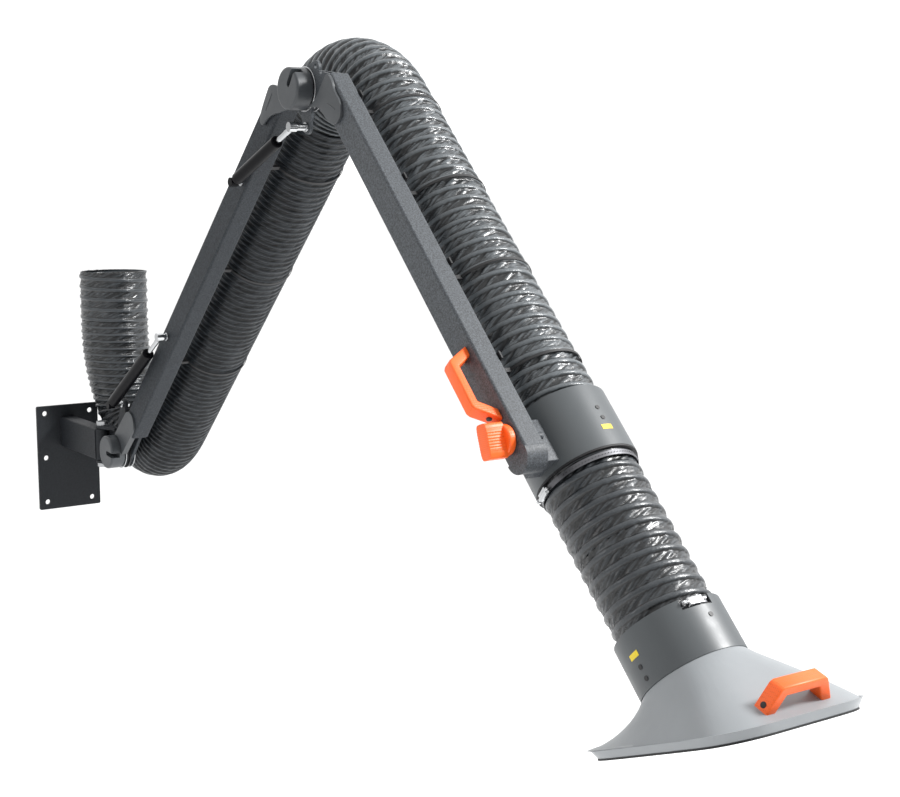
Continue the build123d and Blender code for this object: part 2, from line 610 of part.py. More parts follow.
def mouth_face(x, grow):
    """The rounded mouth outline, grown all round, in the mouth's own frame."""
    place = Plane((x, 0, 0), x_dir=(0, 1, 0), z_dir=(1, 0, 0))
    outline = ring_points(MOUTH_HALF_Y + grow, MOUTH_HALF_Z + grow, MOUTH_POWER)
    return place * make_face(Spline(*outline, periodic=True))


mouth_local = Location((MOUTH_X, 0, 0), (0, MOUTH_TILT, 0))
SEAL = 3.0


def hood_funnel():
    """Flared shell that ends in an inward-sloping lip round the mouth."""
    shell = funnel_solid(0) - funnel_solid(FUNNEL_WALL)
    lip = loft([mouth_face(-LIP - 1, LIP_BEVEL - 1), mouth_face(-SEAL, 0)])
    lip -= loft([mouth_face(-LIP - 1, LIP_BEVEL - 1 - FUNNEL_WALL), mouth_face(-SEAL, -FUNNEL_WALL)])
    return shell + mouth_local * lip


def hood_rim_seal():
    return (extrude(mouth_face(-SEAL, 0.5), SEAL)
            - extrude(mouth_face(-SEAL, -FUNNEL_WALL - 1), SEAL))


def hood_handle():
    """The same bow as on the arm, across the outer slope of the hood."""
    high = HOSE_AXIS * Location((HOOD_COLLAR[1], 0, COLLAR_R))
    low = MOUTH * Location((-LIP, 0, MOUTH_HALF_Z + LIP_BEVEL))
    a, b = high.position, low.position
    drop = degrees(atan2(a.Z - b.Z, b.X - a.X))
    along = HOOD_HANDLE_AT / hypot(b.X - a.X, b.Z - a.Z)
    foot = Location((a.X + (b.X - a.X) * along, HOSE_Y, a.Z + (b.Z - a.Z) * along), (0, drop, 0))
    across = Plane((0, 0, -HANDLE_SINK), x_dir=(0, 1, 0), z_dir=(-1, 0, 0)).location
    return foot * across * bow_handle(*HOOD_HANDLE)


keep("hood_collar", hood_collar(), UPPER)
keep("hood_spider", spider(1210, ROLL_X, False), UPPER)
keep("hood_clamp", ring_clamp(HOOD_COLLAR[0] + 8, NOTCH_ANGLE), UPPER)
keep("hood_collar_screws", radial_screws(HOOD_SCREWS, COLLAR_R), UPPER)
keep("hood_funnel", hood_funnel(), HOSE_AXIS)
keep("hood_rim_seal", hood_rim_seal(), MOUTH)
keep("hood_handle", hood_handle() - HOSE_AXIS * funnel_solid(0))

# ---------------------------------------------------------------- hose lengths that bend
def tail_hose():
    x, y = TAIL_XY
    return rod_z(TAIL_Z0, TAIL_Z1, HOSE_R, x, y) - rod_z(TAIL_Z0, TAIL_Z1, HOSE_R - HOSE_WALL, x, y)


uturn_rise = tan(radians(LOWER_RISE))
line_x, line_z = in_frame(LOWER, LOWER_HOSE[0], LOWER_HOSE_Z)
corner_x = line_x - (line_z - UTURN_Z) / uturn_rise


def slew_bend():
    """From the tail down and round to the low point under the shoulder."""
    x, y = TAIL_XY
    return FilletPolyline((x, y, TAIL_Z0), (x, y, SHIFT_Z0), (x, HOSE_Y, SHIFT_Z1),
                          (x, HOSE_Y, UTURN_Z), (UTURN_SPLIT_X, HOSE_Y, UTURN_Z),
                          radius=[SHIFT_R, SHIFT_R, UTURN_R])


def shoulder_bend():
    """From the low point up into the lower arm's hose."""
    return FilletPolyline((UTURN_SPLIT_X, HOSE_Y, UTURN_Z), (corner_x, HOSE_Y, UTURN_Z),
                          (line_x, HOSE_Y, line_z), radius=UTURN_R)


def elbow_bend():
    a = in_frame(LOWER, LOWER_HOSE[1], LOWER_HOSE_Z)
    b = in_frame(UPPER, UPPER_HOSE[0], UPPER_HOSE_Z)
    ua = (cos(radians(LOWER_RISE)), sin(radians(LOWER_RISE)))
    ub = (cos(radians(UPPER_FALL)), -sin(radians(UPPER_FALL)))
    det = ua[0] * -ub[1] + ub[0] * ua[1]
    s = ((b[0] - a[0]) * -ub[1] + ub[0] * (b[1] - a[1])) / det
    corner = (a[0] + s * ua[0], a[1] + s * ua[1])
    path = FilletPolyline((a[0], HOSE_Y, a[1]), (corner[0], HOSE_Y, corner[1]),
                          (b[0], HOSE_Y, b[1]), radius=ELBOW_BEND_R - 8)
    return path


keep("tail_hose", tail_hose())
keep("slew_hose_bend", tube_along(slew_bend(), HOSE_R, HOSE_WALL))
keep("shoulder_hose_bend", tube_along(shoulder_bend(), HOSE_R, HOSE_WALL))
keep("elbow_hose_bend", tube_along(elbow_bend(), HOSE_R, HOSE_WALL))
keep("collar_hose",
     pipe_x(UPPER_HOSE[1], COLLAR[0] + TUCK, HOSE_R, HOSE_WALL, HOSE_Y, UPPER_HOSE_Z), UPPER)
NECK_MID = (COLLAR[1] + HOOD_COLLAR[0]) / 2
keep("neck_hose_upper",
     pipe_x(COLLAR[1] - 20, NECK_MID, HOSE_R, HOSE_WALL, HOSE_Y, UPPER_HOSE_Z), UPPER)
keep("neck_hose_lower",
     pipe_x(NECK_MID, HOOD_COLLAR[0] + 20, HOSE_R, HOSE_WALL, HOSE_Y, UPPER_HOSE_Z), UPPER)

# ---------------------------------------------------------------- write the nodes
for name, shape in nodes.items():
    export_step(shape, f"parts/{name}.step")
print(len(nodes), "nodes written")
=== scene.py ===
# %% [markdown]
# # A wall-mounted fume extraction arm
# The arm is a pair of powder-coated beams that turn on a wall console. A fabric duct
# hose hangs beside them and ends in a flared hood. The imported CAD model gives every
# place and every joint, so this lesson only has to make the surfaces look real.

import json
import math
import bmesh
import bpy
from mathutils import Matrix, Vector

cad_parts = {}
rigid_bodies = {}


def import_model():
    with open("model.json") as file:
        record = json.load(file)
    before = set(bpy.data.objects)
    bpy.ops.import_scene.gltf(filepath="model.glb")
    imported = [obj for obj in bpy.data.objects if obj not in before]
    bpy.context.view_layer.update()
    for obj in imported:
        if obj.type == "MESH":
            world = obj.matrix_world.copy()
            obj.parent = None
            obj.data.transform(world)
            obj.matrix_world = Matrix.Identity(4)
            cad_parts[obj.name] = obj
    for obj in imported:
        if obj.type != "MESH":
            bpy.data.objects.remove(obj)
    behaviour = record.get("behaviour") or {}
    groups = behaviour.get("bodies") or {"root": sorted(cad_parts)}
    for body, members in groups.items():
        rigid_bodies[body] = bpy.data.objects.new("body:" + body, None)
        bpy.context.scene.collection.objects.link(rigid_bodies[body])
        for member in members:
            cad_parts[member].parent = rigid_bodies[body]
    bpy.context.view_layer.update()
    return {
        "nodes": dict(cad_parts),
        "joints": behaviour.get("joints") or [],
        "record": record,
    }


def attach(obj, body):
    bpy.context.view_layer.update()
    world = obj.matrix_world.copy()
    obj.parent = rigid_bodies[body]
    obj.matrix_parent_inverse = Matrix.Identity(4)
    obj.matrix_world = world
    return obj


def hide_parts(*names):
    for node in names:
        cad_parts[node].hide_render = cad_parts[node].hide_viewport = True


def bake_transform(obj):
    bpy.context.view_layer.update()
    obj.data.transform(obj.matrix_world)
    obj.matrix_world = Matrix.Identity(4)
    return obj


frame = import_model()

# %% [markdown]
# ## Frames to work in
# Each beam is easiest to think about along its own length. A matrix at the shoulder and
# one at the elbow turn such local places into places in the room, and the hood end has
# one of its own on the hose's centre line.

# %% Arm frames
LOWER_RISE, UPPER_FALL = math.radians(44.3), math.radians(45.6)
HOSE_SIDE = 0.160                      # the hose runs this far along +Y from the pivots
LOWER_HOSE_UP, UPPER_HOSE_UP = 0.0444, 0.014
joint_at = {j["name"]: Vector(j["pos_m"]) for j in frame["joints"] if "pos_m" in j}


def arm_frame(pivot, turn):
    """x along the arm, y across it and z square to both."""
    return Matrix.Translation((pivot.x, 0, pivot.z)) @ Matrix.Rotation(turn, 4, "Y")


LOWER = arm_frame(joint_at["shoulder"], -LOWER_RISE)
UPPER = arm_frame(joint_at["elbow"], UPPER_FALL)
DUCT = UPPER @ Matrix.Translation((0, HOSE_SIDE, UPPER_HOSE_UP))
print("elbow pivot", tuple(round(v, 3) for v in joint_at["elbow"]))

# %% [markdown]
# ## Shader helpers
# Every finish here is procedural: noise for grain and wear, a bump for what the light
# catches, and the Principled shader for the rest. A few helpers keep each recipe short.
# All patterns read Object coordinates, which stay put because each piece sits at the
# origin with its place in its mesh.

# %% Shader helpers
class Finish:
    """A material under construction, with short calls for the nodes it needs."""

    def __init__(self, name, colour, roughness, metallic=0.0, coat=0.0):
        self.material = bpy.data.materials.new(name)
        self.material.use_nodes = True
        self.tree = self.material.node_tree
        self.shader = self.tree.nodes["Principled BSDF"]
        self.shader.inputs["Base Color"].default_value = (*colour, 1)
        self.shader.inputs["Roughness"].default_value = roughness
        self.shader.inputs["Metallic"].default_value = metallic
        self.shader.inputs["Coat Weight"].default_value = coat
        self.place = self.node("ShaderNodeTexCoord").outputs["Object"]
        self.colour = colour

    def node(self, kind, inputs=None, **settings):
        made = self.tree.nodes.new(kind)
        for key, value in settings.items():
            setattr(made, key, value)
        for key, value in (inputs or {}).items():
            self.feed(made.inputs[key], value)
        return made

    def feed(self, socket, value):
        if isinstance(value, bpy.types.NodeSocket):
            self.tree.links.new(value, socket)
        else:
            socket.default_value = value

    def stretched(self, scale, turn=(0, 0, 0)):
        inputs = {"Vector": self.place, "Scale": scale, "Rotation": turn}
        return self.node("ShaderNodeMapping", inputs).outputs["Vector"]

    def noise(self, scale, detail=2.0, roughness=0.5, vector=None):
        inputs = {"Vector": vector or self.place, "Scale": scale, "Detail": detail,
                  "Roughness": roughness}
        return self.node("ShaderNodeTexNoise", inputs).outputs["Fac"]

    def dots(self, scale, randomness=1.0):
        inputs = {"Vector": self.place, "Scale": scale, "Randomness": randomness}
        return self.node("ShaderNodeTexVoronoi", inputs).outputs["Distance"]

    def attribute(self, name):
        return self.node("ShaderNodeAttribute", attribute_name=name).outputs["Fac"]

    def remap(self, value, low, high, to_low, to_high):
        inputs = {"Value": value, "From Min": low, "From Max": high, "To Min": to_low,
                  "To Max": to_high}
        return self.node("ShaderNodeMapRange", inputs, clamp=True).outputs["Result"]

    def calc(self, operation, a, b):
        return self.node("ShaderNodeMath", {0: a, 1: b}, operation=operation).outputs[0]

    def tint(self, value, low, high):
        """Colour that runs from low to high times the base colour as value goes 0 to 1."""
        ramp = self.node("ShaderNodeValToRGB", {"Fac": value})
        for element, share in zip(ramp.color_ramp.elements, (low, high)):
            element.color = (*[min(1.0, c * share) for c in self.colour], 1)
        return ramp.outputs["Color"]

    def blend_colour(self, amount, a, b):
        mixer = self.node("ShaderNodeMix", {"Factor": amount}, data_type="RGBA")
        self.feed(mixer.inputs[6], a)
        self.feed(mixer.inputs[7], b)
        return mixer.outputs[2]

    def set_colour(self, value):
        self.feed(self.shader.inputs["Base Color"], value)

    def set_roughness(self, value, low, high):
        self.feed(self.shader.inputs["Roughness"], self.remap(value, 0, 1, low, high))

    def bump(self, height, strength, distance, under=None):
        inputs = {"Height": height, "Strength": strength, "Distance": distance}
        if under is not None:
            inputs["Normal"] = under
        made = self.node("ShaderNodeBump", inputs).outputs["Normal"]
        self.feed(self.shader.inputs["Normal"], made)
        return made


print("shader helpers ready")

# %% [markdown]
# ## Powder coat and moulded plastic
# Powder coat is paint baked from grains, so it glitters a little and feels like fine
# sandpaper. A fine noise makes the speckle and the bump, and a broad one makes the
# slight waviness. Moulded plastic is smoother, with a faint grain and hardly any change
# of colour.

# %% Powder coat and plastic
def powder_coat(name, colour, grain=400.0, gloss=0.5):
    f = Finish(name, colour, 0.55)
    f.shader.inputs["Specular IOR Level"].default_value = gloss
    speckle = f.noise(grain, 3.0, 0.7)
    f.set_colour(f.tint(f.remap(speckle, 0.36, 0.66, 0, 1), 0.45, 1.75))
    f.set_roughness(f.noise(grain * 0.7), 0.42, 0.7)
    fine = f.bump(speckle, 0.35, 0.0006)
    f.bump(f.noise(26.0, 2.0), 0.05, 0.001, fine)
    return f.material


def moulded(name, colour, roughness, grain=900.0, strength=0.12):
    f = Finish(name, colour, roughness)
    f.set_colour(f.tint(f.noise(14.0, 3.0), 0.93, 1.07))
    f.set_roughness(f.noise(60.0, 3.0), roughness - 0.06, roughness + 0.08)
    f.bump(f.noise(grain, 2.0), strength, 0.0003)
    return f.material


print("coat and plastic recipes ready")

# %% [markdown]
# ## Plated metal and the grip
# The metals differ mostly in roughness, and a noise stretched along one axis leaves the
# fine lines of rolling or brushing. The orange plastic has raised dots, which are the
# cells of a Voronoi pattern with no randomness, so they stand in rows.

# %% Metal and grip
def plated(name, colour, roughness, brushing=(900.0, 60.0, 900.0)):
    f = Finish(name, colour, roughness, metallic=1.0)
    f.set_colour(f.tint(f.noise(30.0, 3.0), 0.85, 1.08))
    lines = f.noise(1.0, 2.0, 0.6, f.stretched(brushing))
    f.set_roughness(lines, roughness * 0.7, roughness * 1.5)
    f.bump(lines, 0.06, 0.0002)
    return f.material


def grip(name, colour):
    """Moulded plastic with a lattice of small raised dots."""
    f = Finish(name, colour, 0.42)
    dot = f.remap(f.dots(330.0, 0.0), 0.15, 0.42, 1, 0)
    f.set_colour(f.blend_colour(dot, f.tint(f.noise(40.0), 0.92, 1.05),
                                (*[c * 0.82 for c in colour], 1)))
    f.set_roughness(f.noise(80.0), 0.36, 0.52)
    f.bump(dot, 0.35, 0.0006)
    return f.material


print("metal and grip recipes ready")

# %% [markdown]
# ## The finishes
# Each finish is one line from here on. The lower beam gets a darker, duller copy of the
# powder coat, whose darker colour is painted shade, and the gas springs' paint hardly
# reflects at all, which is set on the shader's own socket.

# %% Finishes
coat = powder_coat("powder_coat", (0.047, 0.053, 0.060))
# a darker, duller copy of the powder coat for the lower arm's beam, knuckle and yoke; its darker
# colour is painted shade
coat_painted_shade = powder_coat("powder_coat_lower_painted_shade", (0.024, 0.028, 0.033), 400.0, 0.2)
coat_dark = powder_coat("powder_coat_dark", (0.012, 0.014, 0.017), 480.0, 0.25)
cover = moulded("cover_plastic", (0.045, 0.050, 0.055), 0.42)
collar_grey = moulded("collar_plastic", (0.072, 0.080, 0.085), 0.42)
hood_grey = moulded("hood_plastic", (0.235, 0.250, 0.262), 0.38)
orange = grip("orange_plastic", (0.95, 0.13, 0.012))
zinc = plated("zinc_steel", (0.48, 0.49, 0.50), 0.26)
stainless = plated("stainless_band", (0.52, 0.53, 0.54), 0.2)
chrome = plated("chrome_rod", (0.50, 0.51, 0.52), 0.12)
black_paint = moulded("black_paint", (0.003, 0.003, 0.004), 0.3)
black_paint.node_tree.nodes["Principled BSDF"].inputs["Specular IOR Level"].default_value = 0.06
black_plastic = moulded("black_plastic", (0.010, 0.010, 0.011), 0.5)
rubber = moulded("rubber", (0.008, 0.008, 0.009), 0.62)
# a darker copy of the stainless steel for the clamp bands; the darker colour is painted shade
# under the collar's edge
band_steel_painted_shade = plated("band_steel_painted_shade", (0.16, 0.16, 0.17), 0.42)
yellow = moulded("yellow_label", (0.80, 0.60, 0.02), 0.4)
print("finishes", len(bpy.data.materials))

# %% [markdown]
# ## Coated hose fabric
# The hose is coated cloth glued over a steel wire helix. Light slides along the creases
# between two wires, so the cloth is fairly glossy and smoother over the wire. Its colour
# carries painted shade down in the folds and in a thin line beside each wire, and painted
# highlights on the crease crests and over the wire. The mesh carries two attributes that
# say where each point is, rib for the wire and fold for the creases.

# %% Hose finish
def hose_cloth(name, colour, depth=0.16, gloss=0.5):
    f = Finish(name, colour, 0.36, coat=0.3 * gloss)
    f.shader.inputs["Specular IOR Level"].default_value = gloss
    rib, fold = f.attribute("rib"), f.attribute("fold")
    patch = f.noise(70.0, 4.0, 0.65)
    # crest is a painted highlight on each crease crest, up to 2.3 times the cloth colour
    crest = f.tint(patch, 0.8, 2.3)
    # depth sets the painted shade down in the folds between two crests
    open_cloth = f.blend_colour(f.remap(fold, 0.25, 0.85, 0, 1),
                                (*[c * depth for c in colour], 1), crest)
    # wire is a painted highlight on the cloth over each wire
    wire = f.tint(patch, 1.2, 1.7)
    ribbed = f.blend_colour(f.remap(rib, 0.5, 0.9, 0, 0.9), open_cloth, wire)
    # beside paints a thin line of shade next to each wire
    beside = f.calc("MULTIPLY", f.remap(rib, 0.0, 0.12, 0, 0.9), f.remap(rib, 0.3, 0.62, 1, 0))
    f.set_colour(f.blend_colour(beside, ribbed, (*[c * 0.12 for c in colour], 1)))
    f.set_roughness(f.noise(160.0, 3.0), 0.22, 0.46)
    crumple = f.bump(f.noise(210.0, 4.0, 0.62), 0.5, 0.0014)
    f.bump(f.noise(2600.0, 1.0), 0.08, 0.0002, crumple)
    return f.material


cloth = hose_cloth("hose_cloth", (0.062, 0.070, 0.076))
cloth_neck = hose_cloth("hose_cloth_neck", (0.027, 0.031, 0.035), 0.2)
# a darker copy of the hose cloth for the shoulder and lower arm lengths; its darker colour is
# painted shade
cloth_painted_shade = hose_cloth("hose_cloth_painted_shade", (0.012, 0.015, 0.018), 0.3, 0.22)
print("cloth finishes", cloth.name, cloth_painted_shade.name)

# %% [markdown]
# ## A Geometry Nodes helper
# The next pieces repeat or follow a path, so they are grown by Geometry Nodes. Building
# a tree in code takes many lines, and this class folds them into one call per node. The
# result is turned into a plain mesh at once, so nothing live is left on a piece.

# %% Geometry Nodes helper
class Tree:
    """A geometry node group under construction, with named inputs."""

    def __init__(self, name, **inputs):
        self.group = bpy.data.node_groups.new(name, "GeometryNodeTree")
        face = self.group.interface
        face.new_socket("Geometry", in_out="OUTPUT", socket_type="NodeSocketGeometry")
        face.new_socket("Geometry", in_out="INPUT", socket_type="NodeSocketGeometry")
        self.ids = {}
        for key, (kind, value) in inputs.items():
            made = face.new_socket(key, in_out="INPUT", socket_type="NodeSocket" + kind)
            if value is not None:
                made.default_value = value
            self.ids[key] = made.identifier
        self.start = self.group.nodes.new("NodeGroupInput")
        self.end = self.group.nodes.new("NodeGroupOutput")

    def __getitem__(self, key):
        return self.start.outputs[key]

    def node(self, kind, inputs=None, **settings):
        made = self.group.nodes.new(kind)
        for key, value in settings.items():
            setattr(made, key, value)
        for key, value in (inputs or {}).items():
            self.feed(made.inputs[key], value)
        return made

    def feed(self, socket, value):
        if isinstance(value, bpy.types.NodeSocket):
            self.group.links.new(value, socket)
        else:
            socket.default_value = value

    def calc(self, operation, a, b=0.0):
        return self.node("ShaderNodeMath", {0: a, 1: b}, operation=operation).outputs[0]

    def finish(self, geometry, material):
        """Realize Instances and Set Material, then out."""
        real = self.node("GeometryNodeRealizeInstances", {"Geometry": geometry})
        inputs = {"Geometry": real.outputs[0], "Material": material}
        painted = self.node("GeometryNodeSetMaterial", inputs)
        self.group.links.new(painted.outputs[0], self.end.inputs["Geometry"])

    def grow(self, name, source, material, **values):
        """Runs the tree on an object and returns a plain mesh object."""
        bpy.context.scene.collection.objects.link(source)
        modifier = source.modifiers.new("grow", "NODES")
        modifier.node_group = self.group
        for key, value in dict(values, Material=material).items():
            modifier[self.ids[key]] = value
        bpy.context.view_layer.update()
        evaluated = source.evaluated_get(bpy.context.evaluated_depsgraph_get())
        mesh = bpy.data.meshes.new_from_object(evaluated)
        mesh.name = name
        bpy.data.objects.remove(source)
        grown = bpy.data.objects.new(name, mesh)
        bpy.context.scene.collection.objects.link(grown)
        return grown


print("geometry node helper ready")

# %% [markdown]
# ## Creases in the cloth
# Twisted cloth folds on the slant, so its creases follow neither the hose nor the wire.
# A sine wave would look ruled, and a plain noise would look like crumpled paper. Here a
# noise is stretched along the twist in two sizes, and the crest of a crease is where it
# passes its middle value.

# %% Twisted creases
# how often the creases come across and along the twist, the noise's shift, their share
CREASE_LAYERS = ((125.0, 9.0, 0.0, 0.65), (290.0, 26.0, 7.0, 0.35))
CREST_WIDTH = 0.11                     # how near its middle value the noise makes a crest


def twisted_creases(t, along, around):
    """1 on the crest of a crease and 0 down between two crests."""
    girth = t.calc("MULTIPLY", around, t.calc("MULTIPLY", t["Radius"], 2 * math.pi))
    across = t.calc("SUBTRACT", along, t.calc("MULTIPLY", girth, t["Slant"]))
    lengthwise = t.calc("ADD", girth, t.calc("MULTIPLY", along, t["Slant"]))
    layers = []
    for fine, coarse, shift, share in CREASE_LAYERS:
        spot = t.node("ShaderNodeCombineXYZ", {
            "X": t.calc("MULTIPLY", across, fine), "Y": t.calc("MULTIPLY", lengthwise, coarse),
            "Z": t.calc("ADD", t["Seed"], shift)})
        grain = t.node("ShaderNodeTexNoise", {"Vector": spot.outputs[0], "Scale": 1.0,
                                              "Detail": 2.0})
        middle = t.calc("ABSOLUTE", t.calc("SUBTRACT", grain.outputs["Fac"], 0.5))
        crest = t.node("ShaderNodeMapRange", {"Value": middle, "From Max": CREST_WIDTH,
                                              "To Min": 1.0, "To Max": 0.0})
        layers.append(t.calc("MULTIPLY", crest.outputs["Result"], share))
    return t.calc("ADD", *layers)


print("crease layers", len(CREASE_LAYERS))

# %% [markdown]
# ## The hose tree
# A circle follows a path, and every point of the tube is pushed in or out along its
# normal. Its turn number, from the length along the path and the angle round it, says
# how far it is from the wire helix: the cloth stands proud over the wire and sags
# between two turns. The creases' crests stand up a little from the sag. Two attributes
# carry both on to the finish, which paints shade where the cloth lies lowest.

# %% Hose tree
hose_tree = Tree(
    "ribbed_hose", Radius=("Float", 0.083), Step=("Float", 0.002), Sides=("Int", 128),
    StartTurns=("Float", 0.0), TurnsPerMetre=("Float", 40.0), Sag=("Float", 0.004),
    Crease=("Float", 0.002), Slant=("Float", 0.45), Seed=("Float", 0.0),
    Material=("Material", None))


def build_hose_tree(t):
    resampled = t.node("GeometryNodeResampleCurve", {"Curve": t["Geometry"],
                                                     "Length": t["Step"]}, mode="LENGTH")
    level = t.node("GeometryNodeSetCurveNormal", {"Curve": resampled.outputs[0]}, mode="FREE")
    level.inputs["Normal"].default_value = (0, 1, 0)
    parameter = t.node("GeometryNodeSplineParameter")
    path = t.node("GeometryNodeCaptureAttribute", {"Geometry": level.outputs[0]})
    path.capture_items.new("FLOAT", "along")
    t.feed(path.inputs["along"], parameter.outputs["Length"])
    circle = t.node("GeometryNodeCurvePrimitiveCircle", {"Resolution": t["Sides"],
                                                         "Radius": t["Radius"]})
    ring = t.node("GeometryNodeCaptureAttribute", {"Geometry": circle.outputs[0]})
    ring.capture_items.new("FLOAT", "around")
    t.feed(ring.inputs["around"], parameter.outputs["Factor"])
    tube = t.node("GeometryNodeCurveToMesh", {"Curve": path.outputs["Geometry"],
                                              "Profile Curve": ring.outputs["Geometry"]})
    along, around = path.outputs["along"], ring.outputs["around"]
    turns = t.calc("ADD", t.calc("MULTIPLY", along, t["TurnsPerMetre"]), t["StartTurns"])
    turns = t.calc("ADD", turns, around)
    wave = t.calc("COSINE", t.calc("MULTIPLY", turns, 2 * math.pi))
    rib = t.node("ShaderNodeMapRange", {"Value": wave, "From Min": 0.05, "From Max": 0.88},
                 interpolation_type="SMOOTHSTEP").outputs["Result"]
    fold = twisted_creases(t, along, around)
    hollow = t.calc("SUBTRACT", 1.0, rib)
    lift = t.calc("MULTIPLY", t["Crease"], t.calc("SUBTRACT", 0.5, fold))
    depth = t.calc("ADD", t["Sag"], lift)
    push = t.calc("MULTIPLY", t.calc("MULTIPLY", hollow, depth), -1.0)
    normal = t.node("GeometryNodeInputNormal").outputs[0]
    offset = t.node("ShaderNodeVectorMath", {0: normal}, operation="SCALE")
    t.feed(offset.inputs["Scale"], push)
    store = tube.outputs[0]
    for name, value in (("rib", rib), ("fold", fold)):
        store = t.node("GeometryNodeStoreNamedAttribute",
                       {"Geometry": store, "Name": name, "Value": value},
                       data_type="FLOAT", domain="POINT").outputs[0]
    moved = t.node("GeometryNodeSetPosition", {"Geometry": store, "Offset": offset.outputs[0]})
    smooth = t.node("GeometryNodeSetShadeSmooth", {"Geometry": moved.outputs[0]})
    t.finish(smooth.outputs[0], t["Material"])


build_hose_tree(hose_tree)
print("hose tree nodes", len(hose_tree.group.nodes))

# %% [markdown]
# ## The hose's route
# The hose comes down from the building's duct, steps sideways behind the console, turns
# up under the shoulder and then keeps to one side of both beams. Each length between two
# joints is a piece of its own, and the helix is counted on from one piece to the next so
# that the wire runs through without a break.

# %% Hose route
def path_object(name, points):
    """A smooth curve drawn towards its inner points, each as hard as its weight."""
    curve = bpy.data.curves.new(name, "CURVE")
    curve.dimensions = "3D"
    spline = curve.splines.new("NURBS")
    spline.points.add(len(points) - 1)
    for point, (place, weight) in zip(spline.points, points):
        point.co = (*place, weight)
    spline.use_endpoint_u = True
    spline.order_u, spline.resolution_u = min(3, len(points)), 48
    return bpy.data.objects.new(name, curve)


def lower_at(x):
    return LOWER @ Vector((x, HOSE_SIDE, LOWER_HOSE_UP))


def upper_at(x):
    return DUCT @ Vector((x, 0, 0))


def crossing(a, b, c, d):
    """Where line a-b meets line c-d in the x-z plane."""
    u, v, w = b - a, d - c, c - a
    share = (w.x * v.z - w.z * v.x) / (u.x * v.z - u.z * v.x)
    return a + u * share


TAIL_X, TAIL_Y, TAIL_TOP, TAIL_LOW, TAIL_STEP = 0.090, 0.100, 0.470, 0.350, 0.240
LOW_Z, SPLIT_X = 0.045, 0.1945                 # the turn under the shoulder
LOWER_SPAN, UPPER_SPAN = (0.020, 1.073), (0.054, 0.730)     # straight, beside the beams
COLLAR_END, NECK_START, NECK_SPLIT, NECK_END = 0.830, 0.886, 1.042, 1.198
split = Vector((SPLIT_X, HOSE_SIDE, LOW_Z))
low_corner = crossing(split, split + Vector((1, 0, 0)), lower_at(0.0), lower_at(1.0))
top_corner = crossing(lower_at(0.0), lower_at(1.0), upper_at(0.0), upper_at(1.0))
EASY, SQUARE, GENTLE = 1.0, 0.74, 0.93         # how hard a corner pulls the curve


def straight(place, start, end):
    return [(place(start), EASY), (place(end), EASY)]


routes = {
    "tail": [((TAIL_X, TAIL_Y, TAIL_TOP), EASY), ((TAIL_X, TAIL_Y, TAIL_LOW), EASY)],
    "slew": [((TAIL_X, TAIL_Y, TAIL_LOW), EASY), ((TAIL_X, TAIL_Y, TAIL_STEP), EASY),
             ((TAIL_X, HOSE_SIDE - 0.003, LOW_Z), SQUARE), (split, EASY)],
    "shoulder": [(split, EASY), (low_corner, GENTLE), (lower_at(LOWER_SPAN[0]), EASY)],
    "lower": straight(lower_at, *LOWER_SPAN),
    "elbow": [(lower_at(LOWER_SPAN[1]), EASY), (top_corner, SQUARE),
              (upper_at(UPPER_SPAN[0]), EASY)],
    "upper": straight(upper_at, *UPPER_SPAN),
    "collar": straight(upper_at, UPPER_SPAN[1], COLLAR_END),
    "neck_upper": straight(upper_at, NECK_START, NECK_SPLIT),
    "neck_lower": straight(upper_at, NECK_SPLIT, NECK_END),
}
print("hose pieces", list(routes))

# %% [markdown]
# ## Growing the hose
# Pitch and sag change along the way: the cloth is packed tight on the lower arm and
# stretched open on the upper arm and at the neck. A length that crosses a joint rides on
# neither body; its place is baked into its mesh.

# %% Hose plan
# route, wire turns per metre, sag, crease, finish, CAD node, (bodies)
HOSE_PLAN = (
    ("tail", 40, 0.0034, 0.0040, cloth_neck, "tail_hose", ("wall_console",)),
    ("slew", 58, 0.0034, 0.0040, cloth_neck, "slew_hose_bend", ("wall_console", "slew_head")),
    ("shoulder", 72, 0.0030, 0.0026, cloth_painted_shade, "shoulder_hose_bend", ("slew_head", "lower_arm")),
    ("lower", 66, 0.0028, 0.0022, cloth_painted_shade, "lower_hose", ("lower_arm",)),
    ("elbow", 54, 0.0056, 0.0036, cloth, "elbow_hose_bend", ("lower_arm", "upper_arm")),
    ("upper", 41, 0.0036, 0.0040, cloth, "upper_hose", ("upper_arm",)),
    ("collar", 41, 0.0036, 0.0040, cloth, "collar_hose", ("upper_arm", "collar")),
    ("neck_upper", 38, 0.0032, 0.0034, cloth_neck, "neck_hose_upper", ("collar", "gimbal")),
    ("neck_lower", 38, 0.0032, 0.0034, cloth_neck, "neck_hose_lower", ("gimbal", "hood_neck")),
)
HOSE_STEP, HOSE_SIDES, TAIL_WALL = 0.0017, 132, 0.0015
print("hose lengths", len(HOSE_PLAN))

# %% [markdown]
# ## One length after another
# A Geometry Nodes result has to become a plain mesh before the frame can move it, and the
# modifiers used further on have to be applied too, which is what baking does. The tail is
# open at its top, so it alone is given a wall. Each call hands back how many turns of
# wire have gone by, and the next length starts from there.

# %% Hose pieces
def bake(piece):
    """Applies every modifier, so that a plain mesh is left."""
    bpy.context.view_layer.update()
    evaluated = piece.evaluated_get(bpy.context.evaluated_depsgraph_get())
    mesh = bpy.data.meshes.new_from_object(evaluated)
    piece.modifiers.clear()
    piece.data = mesh
    return piece


